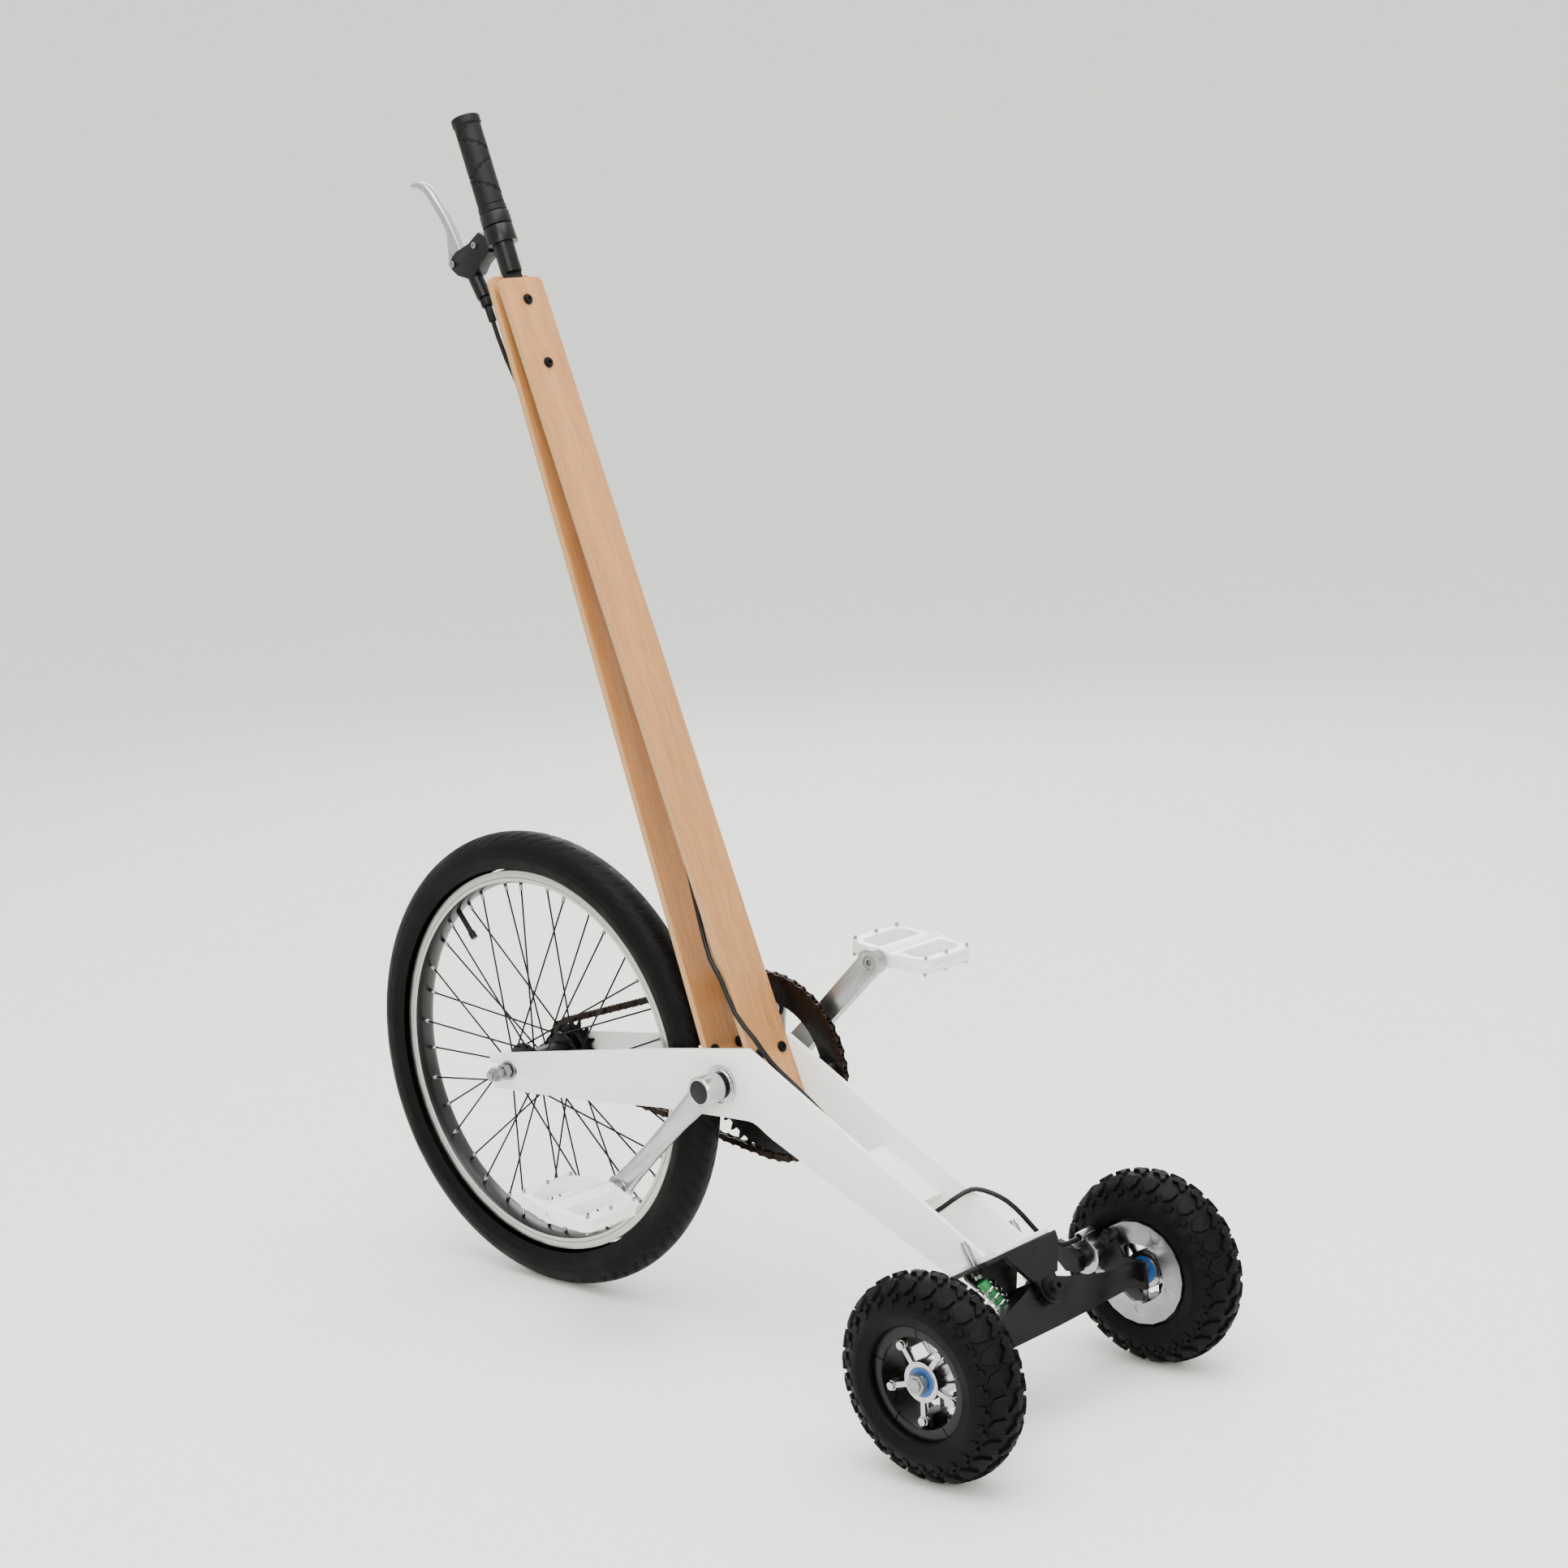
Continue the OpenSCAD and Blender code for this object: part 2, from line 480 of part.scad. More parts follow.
// pedals
px_l = bbx + crank_l * cos(crank_ang);
pz_l = bbz - crank_l * sin(crank_ang);
px_r = bbx - crank_l * cos(crank_ang);
pz_r = bbz + crank_l * sin(crank_ang);
ped_in = eye_out + 7.5;                         // inner end of the pedal's body
ped_w = 91;
ped_l = 102;
module pedal_spindles() color("silver") for (s = [-1, 1]) translate([s > 0 ? px_l : px_r, 0, s > 0 ? pz_l : pz_r]) flip(s) difference() {
  union() {
    ycyl(6.98, eye_in + 0.5, eye_out + 0.1, 0, 0);
    ycyl(8.5, eye_out + 0.1, eye_out + 2.6, 0, 0);
    ycyl(7.4, eye_out + 2.6, eye_out + 4.6, 0, 0);
    ycyl(4.5, eye_out + 4.6, ped_in + ped_w - 8, 0, 0);
  }
  translate([0, eye_in + 4, 0]) rotate([90, 0, 0]) cylinder(r = 3.3, h = 6, $fn = 6);
}
module pedal(s) translate([s > 0 ? px_l : px_r, 0, s > 0 ? pz_l : pz_r]) rotate([0, -pedal_tilt, 0]) flip(s) difference() {
  union() {
    translate([0, ped_in, -7]) linear_extrude(14) difference() {
      polygon([[-12, 0], [12, 0], [22, 5], [33, 5], [51, 16], [51, 79], [44, 86], [33, 87], [22, 88], [12, 92],
        [-12, 92], [-22, 88], [-33, 87], [-44, 86], [-51, 79], [-51, 16], [-33, 5], [-22, 5]]);
      for (q = [-1, 1]) polygon([for (p = [[13, 14], [33, 14], [41, 22], [41, 72], [33, 79], [13, 79]]) [q * p[0], p[1]]]);
    }
    ycyl(9.2, ped_in, ped_in + ped_w, 0, 0);
  }
  ycyl(4.5 + fit, ped_in - 1, ped_in + ped_w - 7, 0, 0);
  translate([0, ped_in + ped_w + 1, 0]) rotate([90, 0, 0]) cylinder(r = 3.2, h = 3, $fn = 6);
  for (q = [-1, 1]) translate([q * 54.5, ped_in + 20, 0]) rotate([-90, 0, 0]) cylinder(r = 5, h = 54);
}
module pedal_left() color("white") pedal(1);
module pedal_right() color("white") pedal(-1);
module pedal_pins(s) color("silver") translate([s > 0 ? px_l : px_r, 0, s > 0 ? pz_l : pz_r]) rotate([0, -pedal_tilt, 0]) flip(s)
  for (q = [-1, 1]) for (y = [ped_in + 14, ped_in + 47, ped_in + 80]) for (v = [-1, 1])
    translate([q * 46, y, v > 0 ? 7 : -10.5]) cylinder(r = 1.7, h = 3.5, $fn = 16);

module pedal_pins_left() pedal_pins(1);
module pedal_pins_right() pedal_pins(-1);

// ---------- front wheel ----------
tr = 23.6 * wheel_r / 251;                    // tyre section radius
tc = wheel_r - tr;                            // radius of the tyre's centre circle
rim_o = tc - 17.5;                            // outer edge of the rim
module spin_y(x, y, z) translate([x, y, z]) rotate([-90, 0, 0]) children();
module front_tyre() color("#141414") spin_y(fx, 0, fz) rotate_extrude($fn = 96) difference() {
  union() {
    intersection() {
      translate([tc, 0]) circle(r = tr, $fn = 64);
      translate([rim_o + 0.4, -40]) square([60, 80]);
    }
    translate([rim_o - 6.4, -11.4]) square([8, 22.8]);
  }
  intersection() {
    translate([tc, 0]) circle(r = tr - 3.4, $fn = 48);
    translate([rim_o + 4, -40]) square([60, 80]);
  }
  translate([rim_o - 8, -7]) square([13, 14]);
}
module front_rim() color("#202020") spin_y(fx, 0, fz) difference() {
  rotate_extrude($fn = 96) polygon([[rim_o - 15, -6], [rim_o - 13, -10.5], [rim_o - 12, -12.9], [rim_o, -12.9], [rim_o, -11.4], [rim_o - 7, -11.4],
    [rim_o - 7, 11.4], [rim_o, 11.4], [rim_o, 12.9], [rim_o - 12, 12.9], [rim_o - 13, 10.5], [rim_o - 15, 6]]);
}
hub_l = 30;                                   // left flange
hub_r = 22;                                   // right flange
flange_r = 24;
module front_hub() color("#141414") difference() {
  union() {
    ycyl(14, -hub_r, hub_l, fx, fz);
    ycyl(flange_r, hub_l - 1.5, hub_l + 1.5, fx, fz);
    ycyl(flange_r, -hub_r - 1.5, -hub_r + 1.5, fx, fz);
    ycyl(11, hub_l, old - 4.6, fx, fz);
    ycyl(17, -chain_y - 1.4, -hub_r, fx, fz);
  }
  ycyl(5 + fit, -60, 60, fx, fz);
}
function spoke(k) = let (s = k % 2 == 0 ? 1 : -1, c = floor(k / 2) % 2 == 0 ? 1 : -1, a = 10 * k + 5, b = a + c * 62)
  [[fx + (flange_r - 3) * cos(b), s > 0 ? hub_l + c * 2.3 : -hub_r - c * 2.3, fz + (flange_r - 3) * sin(b)],
   [fx + (rim_o - 24) * cos(a), s * 4, fz + (rim_o - 24) * sin(a)], [fx + (rim_o - 14) * cos(a), s * 3.6, fz + (rim_o - 14) * sin(a)]];
module spokes() color("#1c1c1c") for (k = [0:35]) let (p = spoke(k)) rod(p[0], p[1], 1);
module spoke_nipples() color("silver") for (k = [0:35]) let (p = spoke(k)) rod(p[1], p[2], 2);
valve_a = 50;
module front_valve() color("#202020") translate([fx, 0, fz]) rotate([0, -valve_a, 0]) {
  translate([rim_o - 44, 0, 0]) rotate([0, 90, 0]) cylinder(r = 3, h = 29.5);
  translate([rim_o - 51, 0, 0]) rotate([0, 90, 0]) cylinder(r = 4, h = 8);
}

// ---------- truck ----------
base_w = go + 6;                              // half width of the black baseplate
module base_outline() {
  polygon([[-84, -base_w], [-6, -base_w], [0, 6.5 - base_w], [0, base_w - 6.5], [-6, base_w], [-84, base_w]]);
  // ears round the spring bolts
  for (s = [-1, 1]) polygon([[-56, s * 30], [-56, s * base_w], [-50, s * (spring_y + 6.2)], [-30, s * (spring_y + 6.2)],
    [-24, s * base_w], [-24, s * 30]]);
}
module tab(x0, x1) translate([x0, 0, 0]) rotate([90, 0, 90]) linear_extrude(x1 - x0)
  union() {
    polygon([[0.5 - base_w, -9.5], [0.5 - base_w, -13], [-18, -41], [18, -41], [base_w - 0.5, -13], [base_w - 0.5, -9.5]]);
    translate([-14, -pivot_w]) square([28, pivot_w - 30]);
    translate([0, -pivot_w]) circle(r = 14);
  }
module truck_baseplate() color("#121212") at_truck() difference() {
  union() {
    translate([0, 0, -9.5]) linear_extrude(4.45) base_outline();
    tab(-84, -79.5);
    tab(-27, -22.5);
    for (s = [-1, 1]) translate([-40, s * spring_y, -14]) cylinder(r = 5.5, h = 5);
  }
  translate([-95, 0, -pivot_w]) rotate([0, 90, 0]) cylinder(r = 5.02, h = 90);
  for (s = [-1, 1]) translate([-40, s * spring_y, -30]) cylinder(r = 4.02, h = 40);
}
module pivot_bolt() color("#2a2a2a") at_truck() translate([0, 0, -pivot_w]) rotate([0, 90, 0]) difference() {
  union() {
    translate([0, 0, -94]) cylinder(r = 5, h = 82);
    translate([0, 0, -85.9]) cylinder(r = 11.5, h = 1.85);
    translate([0, 0, -88]) cylinder(r = 10.5, h = 2.2);
    translate([0, 0, -94]) cylinder(r = 7, h = 6.2);
    translate([0, 0, -22.4]) cylinder(r = 8.5, h = 8, $fn = 6);
  }
  translate([0, 0, -94.5]) cylinder(r = 3, h = 4, $fn = 6);
}
module spring_bolts() color("silver") at_truck() for (s = [-1, 1]) translate([-40, s * spring_y, 0]) difference() {
  union() {
    translate([0, 0, -17.5]) cylinder(r = 4, h = 33);
    translate([0, 0, 15]) cylinder(r = 3, h = 5);
  }
  translate([0, 0, 17]) cylinder(r = 1.6, h = 4, $fn = 6);
}
// springs lean inwards towards the hanger
sp_top = [-40, spring_y, -19];
sp_bot = [-43, 23, -58];
module at_spring(s) {
  d = [sp_bot[0] - sp_top[0], s * (sp_bot[1] - sp_top[1]), sp_bot[2] - sp_top[2]];
  l = norm(d);
  at_truck() translate([sp_top[0], s * sp_top[1], sp_top[2]]) rotate([0, acos(d[2] / l), atan2(d[1], d[0])]) children();
}
sp_len = norm(sp_bot - sp_top);
module truck_springs() color("silver") for (s = [-1, 1]) at_spring(s)
  sweep([for (i = [0:16 * spring_turns]) let (a = 360 * i / 16) [9 * cos(a), 9 * sin(a), 4.6 + (sp_len - 9) * i / (16 * spring_turns)]], 1.7, 8);
module truck_dampers() color("#2f7d32") for (s = [-1, 1]) at_spring(s) translate([0, 0, 2.2]) cylinder(r = 5.6, h = sp_len - 2.8);
module hanger_beam() translate([-76, 0, 0]) rotate([90, 0, 90]) linear_extrude(23)
  for (s = [0, 1]) mirror([s, 0]) polygon([[0, -41], [12, -41], [22, -44.5], [34, -48.5], [47, -52], [59, -55], [76, -59],
    [beam_y * 0.65, -62.4], [beam_y * 0.8, -65], [beam_y, -67], [beam_y, -86], [0, -87.5]]);
module hanger() color("#101010") at_truck() difference() {
  union() {
    hanger_beam();
    translate([-78.5, 0, -pivot_w]) rotate([0, 90, 0]) cylinder(r = 13, h = 50.5);
    // shelf that carries the springs
    translate([-58, -35, -71]) cube([29, 70, 9]);
    for (s = [-1, 1]) translate([-43, s * 22, -63]) cylinder(r = 5, h = 1.6);
  }
  translate([-90, 0, -pivot_w]) rotate([0, 90, 0]) cylinder(r = 5 + fit, h = 80);
  translate([-ax_u, tyre_y, -ax_w]) rotate([90, 0, 0]) cylinder(r = rear_axle_r + 0.01, h = 2 * tyre_y);
}
nut_y = tyre_y + 18;
module rear_axle() color("silver") ycyl(rear_axle_r, -nut_y - 9, nut_y + 9, rx, rz);
module rear_axle_nuts() color("silver") for (s = [-1, 1]) flip(s) difference() {
  union() {
    ycyl(9, nut_y - 0.6, nut_y + 0.9, rx, rz);
    translate([rx, nut_y + 0.9, rz]) rotate([-90, 0, 0]) cylinder(r = 10, h = 6.6, $fn = 6);
    ycyl(8.6, beam_y + 0.1, beam_y + 4.5, rx, rz);
  }
  ycyl(rear_axle_r + 0.01, 100, nut_y + 10, rx, rz);
}

// ---------- rear wheels, drawn for the left side ----------
rs = 30 * rear_r / 98;                        // tyre section radius
rc = rear_r - rs;
module tyre_rear() spin_y(rx, tyre_y, rz) rotate_extrude($fn = 96) difference() {
  union() {
    intersection() {
      translate([rc, 0]) circle(r = rs, $fn = 64);
      translate([55.3, -40]) square([60, 80]);
    }
    translate([50, -19.3]) square([6, 38.6]);
  }
  intersection() {
    translate([rc, 0]) circle(r = rs - 4.5, $fn = 48);
    translate([60, -40]) square([60, 80]);
  }
  translate([49, -14]) square([12, 28]);
}
module rim_rear() difference() {
  union() {
    spin_y(rx, tyre_y, rz) rotate_extrude($fn = 96) polygon([[43, -20], [43, -22], [55, -22], [55, -19.3], [50, -19.3], [50, 19.3], [55, 19.3], [55, 20.5],
      [43, 20.5], [43, 17], [46, 15], [46, -15]]);
    for (k = [0:4]) translate([rx, tyre_y, rz]) rotate([0, 72 * k + 90, 0]) translate([31.5, -11, -6]) cube([17, 22, 12]);
  }
  for (k = [0:4]) translate([rx, 0, rz]) rotate([0, 72 * k + 90, 0]) ycyl(2.6, tyre_y - 30, tyre_y + 30, 37, 0);
  // narrow gaps that part the outer ring into five segments
  for (k = [0:4]) translate([rx, 0, rz]) rotate([0, 72 * k + 54, 0]) translate([41, tyre_y + 17.4, -0.5]) cube([16, 5, 1]);
}
module star_hub(out) difference() {
  union() {
    ycyl(19, tyre_y - 17, tyre_y + 17, rx, rz);
    for (y = [tyre_y - 16, tyre_y + 11.2]) for (k = [0:4]) translate([rx, 0, rz]) rotate([0, 72 * k + 90, 0]) {
      translate([15, y, -2.5]) cube([22, 4.8, 5]);
      ycyl(4.8, y, y + 4.8, 37, 0);
    }
    // through bolts with round heads
    for (k = [0:4]) translate([rx, 0, rz]) rotate([0, 72 * k + 90, 0]) {
      ycyl(2.5, tyre_y - 18, tyre_y + 18, 37, 0);
      if (out > 0) ycyl(3.8, tyre_y + 15.9, tyre_y + 19, 37, 0);
    }
  }
  ycyl(14, tyre_y + 9.5, tyre_y + 18, rx, rz);
  ycyl(14, tyre_y - 18, tyre_y - 9.5, rx, rz);
  ycyl(9, tyre_y - 20, tyre_y + 20, rx, rz);
}
module bearings_rear() for (y = [tyre_y - 17.2, tyre_y + 9.5]) difference() {
  ycyl(13.98, y, y + 7.5, rx, rz);
  ycyl(rear_axle_r + fit, y - 1, y + 9, rx, rz);
}
module tyre_left() color("#171717") tyre_rear();
module tyre_right() color("#171717") mirror([0, 1, 0]) tyre_rear();
module rim_left() color("#101010") rim_rear();
module rim_right() color("#101010") mirror([0, 1, 0]) rim_rear();
module star_hub_left() color("silver") star_hub(1);
module star_hub_right() color("silver") mirror([0, 1, 0]) star_hub(1);
module bearings_left() color("#1f5fa8") bearings_rear();
module bearings_right() color("#1f5fa8") mirror([0, 1, 0]) bearings_rear();
disc_y = tyre_y - 26;
module brake_disc() color("silver") difference() {
  union() {
    translate([rx, -disc_y, rz]) xz(-1.6, 1.4) difference() {
      polygon([for (k = [0:19]) disc_r * [cos(18 * k), sin(18 * k)]]);
      polygon([for (k = [0:4]) for (q = [[-9, 31], [-7, 30], [7, 30], [9, 31], [22, 30], [36, 29.2], [50, 30]]) let (a = 72 * k - 90 + q[0]) q[1] * [cos(a), sin(a)]]);
    }
    // spacers that reach to the wheel
    for (k = [0:4]) translate([rx, 0, rz]) rotate([0, 72 * k + 90, 0]) difference() {
      ycyl(5, -tyre_y + 16.05, -disc_y - 1.5, 37, 0);
      ycyl(2.52, -tyre_y + 10, -tyre_y + 18.2, 37, 0);
    }
  }
  for (k = [0:4]) translate([rx, 0, rz]) rotate([0, 72 * k + 90, 0]) ycyl(4, -disc_y + 0.4, -disc_y + 3, 37, 0);
}
// caliper: straddles the front edge of the disc
cx = rx + 47;
cz = rz + 15;
cal_y = -disc_y + 5.5;                        // outboard face of the bracket, just inside the disc
module caliper_body() color("silver") difference() {
  union() {
    ycyl(18, cal_y + 6.1, cal_y + 20, cx, cz);
    ycyl(10, cal_y - 3.5, cal_y + 7, cx - 5, cz - 3);
    translate([cx + 4, cal_y + 7, cz - 12]) cube([14, 13, 22]);
    translate([cx - 6, cal_y + 10, cz + 12]) cube([9, 10, 12]);
    rod([cx - 2, cal_y + 8.5, cz + 23.6], [cx - 1, cal_y + 28, cz + 22], 4.9);
  }
  rod([cx - 2, cal_y + 14.5, cz + 23.1], [cx - 0.9, cal_y + 30.5, cz + 21.8], 3.7);
}
module caliper_bracket() color("#141414") difference() {
  union() {
    xz(cal_y, cal_y + 6) polygon([[cx + 14, cz - 14], [cx + 14, cz + 2], [cx - 9, cz + 17], [cx - 15, cz + 27], [cx - 24, cz + 27],
      [cx - 30, cz + 16], [cx - 38, cz + 2], [cx - 61, cz + 1], [cx - 64, cz - 26], [cx - 30, cz - 30], [cx - 14, cz - 16]]);
    ycyl(5.5, cal_y - 2.5, cal_y + 14, cx - 22, cz + 20);
  }
  ycyl(rear_axle_r + 3, cal_y - 2, cal_y + 8, rx, rz);
  ycyl(10.3, cal_y - 2, cal_y + 8, cx - 5, cz - 3);
  at_truck() hanger_beam();
}
module caliper_actuator() color("#161616") {
  ycyl(11, cal_y + 20.1, cal_y + 30.5, cx, cz);
  xz(cal_y + 30.4, cal_y + 39) polygon([[cx - 9, cz - 9], [cx + 8, cz - 11], [cx + 22, cz + 2], [cx + 26, cz + 12], [cx + 19, cz + 18],
    [cx + 8, cz + 15], [cx - 8, cz + 6]]);
}

side_plate_left();
side_plate_right();
cross_panel();
mount_plate();
post_brackets();
bb_shell();
bb_cups();
plank_front();
plank_rear();
plank_bolts();
bar_tube();
grip();
grip_lock_ring();
lever_perch();
perch_screws();
cable_boot();
brake_cable();
front_axle();
axle_nuts();
truck_baseplate();
pivot_bolt();
spring_bolts();
chain();
brake_lever();
bb_spindle();
crank_left();
crank_caps();
crank_right();
chainring();
chainring_bolts();
pedal_spindles();
pedal_left();
pedal_pins_left();
pedal_right();
pedal_pins_right();
front_cog();
front_tyre();
front_rim();
front_hub();
spokes();
spoke_nipples();
front_valve();
hanger();
rear_axle();
rear_axle_nuts();
truck_springs();
truck_dampers();
caliper_body();
caliper_bracket();
caliper_actuator();
tyre_left();
rim_left();
star_hub_left();
bearings_left();
tyre_right();
rim_right();
star_hub_right();
bearings_right();
brake_disc();
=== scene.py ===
# %% [markdown]
# # A stand-up pedal trike
# The machine has one large wheel in front that the pedals drive through a chain, and two small wheels
# behind that lean like a skateboard's. The rider stands on the pedals and holds a grip at the top of two
# wooden planks. The solid parts come ready made, to size. This lesson gives them their finishes, and builds
# the pieces whose detail is finer than a solid model carries: tyre treads, the grip's pattern, the chain's
# links and the left crank.

# %% Load the solid parts
import math

import bmesh
import bpy
from mathutils import Matrix, Vector


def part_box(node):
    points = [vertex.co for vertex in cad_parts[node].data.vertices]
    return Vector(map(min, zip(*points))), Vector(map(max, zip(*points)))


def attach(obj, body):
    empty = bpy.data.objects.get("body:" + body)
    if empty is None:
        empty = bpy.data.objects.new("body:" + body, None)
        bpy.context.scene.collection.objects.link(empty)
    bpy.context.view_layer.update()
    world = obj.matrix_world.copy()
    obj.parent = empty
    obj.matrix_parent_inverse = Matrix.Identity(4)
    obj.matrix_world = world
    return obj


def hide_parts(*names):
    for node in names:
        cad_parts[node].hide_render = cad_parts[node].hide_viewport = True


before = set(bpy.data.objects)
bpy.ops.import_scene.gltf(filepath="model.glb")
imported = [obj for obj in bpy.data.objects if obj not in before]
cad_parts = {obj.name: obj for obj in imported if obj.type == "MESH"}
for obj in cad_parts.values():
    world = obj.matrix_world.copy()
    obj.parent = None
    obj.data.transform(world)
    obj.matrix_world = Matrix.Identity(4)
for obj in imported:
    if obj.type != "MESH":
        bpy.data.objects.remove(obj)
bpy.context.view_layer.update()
MM = 0.001


# %% [markdown]
# ## The camera
# The trike is seen from behind and to its left, a little above the wheels, through a lens of about 66 mm.
# The view is level with the top of the post, so the camera tips down by ten degrees. It also rolls by three
# degrees, as a camera held by hand does.

# %% Place the camera
CAMERA_PLACE = Vector((-1.9766, 2.0463, 1.0873))
CAMERA_YAW = math.radians(-47.655)
CAMERA_TIP = math.radians(10.29)
CAMERA_ROLL = math.radians(-3.019)
CAMERA_LENS = 65.91

ahead = Vector((math.cos(CAMERA_YAW) * math.cos(CAMERA_TIP),
                math.sin(CAMERA_YAW) * math.cos(CAMERA_TIP),
                -math.sin(CAMERA_TIP)))
across = ahead.cross(Vector((0, 0, 1))).normalized()
above = across.cross(ahead)
rolled_x = across * math.cos(CAMERA_ROLL) + above * math.sin(CAMERA_ROLL)
rolled_y = above * math.cos(CAMERA_ROLL) - across * math.sin(CAMERA_ROLL)
turn = Matrix((rolled_x, rolled_y, -ahead)).transposed().to_4x4()

camera = bpy.data.objects.new("camera", bpy.data.cameras.new("camera"))
camera.data.lens = CAMERA_LENS
camera.data.sensor_width = 36
camera.matrix_world = Matrix.Translation(CAMERA_PLACE) @ turn
bpy.context.scene.collection.objects.link(camera)
bpy.context.scene.camera = camera
print("camera at", tuple(CAMERA_PLACE))


# %% [markdown]
# ## Helpers for materials
# Colours are picked as sRGB hex, the way a paint chart gives them, and the shader wants linear light, so
# one function turns the one into the other. Another adds a node, sets it and links it in one line, which
# keeps each material short enough to read at a glance.

# %% Colour and node helpers
def linear(hex_code):
    """An sRGB hex colour as linear red, green, blue and full alpha."""
    channels = [int(hex_code[i:i + 2], 16) / 255 for i in (1, 3, 5)]
    return [c / 12.92 if c <= 0.04045 else ((c + 0.055) / 1.055) ** 2.4 for c in channels] + [1]


def add(tree, kind, inputs=None, **settings):
    """Adds a node, sets its properties, and fills or links its inputs."""
    node = tree.nodes.new("ShaderNode" + kind)
    for name, value in settings.items():
        setattr(node, name, value)
    for socket, value in (inputs or {}).items():
        if isinstance(value, bpy.types.NodeSocket):
            tree.links.new(value, node.inputs[socket])
        else:
            node.inputs[socket].default_value = value
    return node


def begin(name, metallic, roughness, **sockets):
    """A new material: its node tree and its main shader, with the sockets that are the same all over."""
    material = bpy.data.materials.new(name)
    material.use_nodes = True
    shader = material.node_tree.nodes["Principled BSDF"]
    shader.inputs["Metallic"].default_value = metallic
    shader.inputs["Roughness"].default_value = roughness
    for socket, value in sockets.items():
        shader.inputs[socket.replace("_", " ")].default_value = value
    return material, material.node_tree, shader


def mottle(tree, shader, hex_a, hex_b, patch_mm, grain_mm, bump_um, rough_range=None):
    """Two close colours in patches, a fine surface grain, and a roughness that wanders between two values."""
    place = add(tree, "TexCoord").outputs["Object"]
    patches = add(tree, "TexNoise", {"Vector": place, "Scale": 1000 / patch_mm, "Detail": 4.0})
    colour = add(tree, "Mix", {0: patches.outputs["Fac"], 6: linear(hex_a), 7: linear(hex_b)},
                 data_type="RGBA")
    tree.links.new(colour.outputs[2], shader.inputs["Base Color"])
    grain = add(tree, "TexNoise", {"Vector": place, "Scale": 1000 / grain_mm, "Detail": 3.0})
    bump = add(tree, "Bump", {"Height": grain.outputs["Fac"], "Strength": 1.0, "Distance": bump_um * 1e-6})
    tree.links.new(bump.outputs["Normal"], shader.inputs["Normal"])
    if rough_range:
        rough = add(tree, "MapRange", {0: patches.outputs["Fac"], 1: 0.3, 2: 0.7,
                                       3: rough_range[0], 4: rough_range[1]})
        tree.links.new(rough.outputs[0], shader.inputs["Roughness"])
    return place, bump


# %% [markdown]
# ## Painted and coated metal
# The side plates are steel sheet with a white powder coat: a baked plastic layer about a tenth of a
# millimetre thick, satin, with a faint orange-peel ripple about 1.5 mm across. The black parts are painted
# or anodised, so they are darker and a little smoother. The pedals are die-cast and have a glossier white
# paint.

# %% Coated metals
powder_white, tree, shader = begin("white_powder_coated_steel", 0.0, 0.36, IOR=1.5)
mottle(tree, shader, "#ECEBE7", "#E4E3DE", 60, 1.5, 14, (0.30, 0.42))

gloss_white, tree, shader = begin("white_painted_alloy", 0.0, 0.25, IOR=1.5,
                                  Coat_Weight=0.3, Coat_Roughness=0.12)
mottle(tree, shader, "#EFEFED", "#E2E2DF", 25, 0.9, 8, (0.20, 0.34))

satin_black, tree, shader = begin("black_painted_alloy", 0.0, 0.38, IOR=1.5, Specular_IOR_Level=0.25)
mottle(tree, shader, "#020203", "#050506", 30, 0.7, 10, (0.26, 0.42))

anodised_black, tree, shader = begin("black_anodised_aluminium", 0.2, 0.40, IOR=1.5, Specular_IOR_Level=0.25)
mottle(tree, shader, "#050506", "#0A0A0B", 30, 0.5, 8, (0.32, 0.46))
print("coated metals ready")

# %% [markdown]
# ## Bare metal
# Aluminium castings are polished on a wheel, which leaves fine scratches and broad soft reflections. Steel
# pieces are zinc plated and a little duller. The springs and the bearing cups are chrome plated and nearly
# a mirror. The chain is a warm bronze brown from its treatment and its oil.

# %% Bare metals
polished_alloy, tree, shader = begin("polished_cast_aluminium", 1.0, 0.22)
mottle(tree, shader, "#BDBDBE", "#A9AAAC", 20, 1.2, 10, (0.16, 0.30))

satin_alloy, tree, shader = begin("satin_machined_aluminium", 1.0, 0.34)
mottle(tree, shader, "#ABABAC", "#979899", 20, 0.6, 10, (0.28, 0.42))

zinc_steel, tree, shader = begin("zinc_plated_steel", 1.0, 0.30)
mottle(tree, shader, "#9A9A9C", "#828386", 8, 0.5, 8, (0.22, 0.42))

chrome_steel, tree, shader = begin("chrome_plated_steel", 1.0, 0.10)
mottle(tree, shader, "#C6C6C8", "#B5B6B9", 8, 0.8, 3, (0.07, 0.16))

dark_steel, tree, shader = begin("phosphated_steel", 0.8, 0.42)
mottle(tree, shader, "#141415", "#1E1E20", 6, 0.4, 10, (0.34, 0.52))

oiled_chain, tree, shader = begin("bronze_treated_chain_steel", 0.85, 0.38)
mottle(tree, shader, "#2E2119", "#17110D", 5, 0.6, 12, (0.26, 0.50))
print("bare metals ready")

# %% [markdown]
# ## The front rim
# The rim is one black anodised extrusion. After anodising, a lathe cuts the black away on each side where a
# brake could rub, which leaves a bright ring with fine turning marks and one thin black wear groove in it.
# So the same piece has two finishes, and which one shows depends on the distance from the axle and on which
# way a face looks.

# %% Two-tone rim
front_axle = Vector(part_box("front_axle")[0]).lerp(Vector(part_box("front_axle")[1]), 0.5)
RIM_OUT = 209.6 * MM           # outer edge of the rim
TRACK_IN = RIM_OUT - 12.0 * MM
WEAR_GROOVE = RIM_OUT - 7.6 * MM

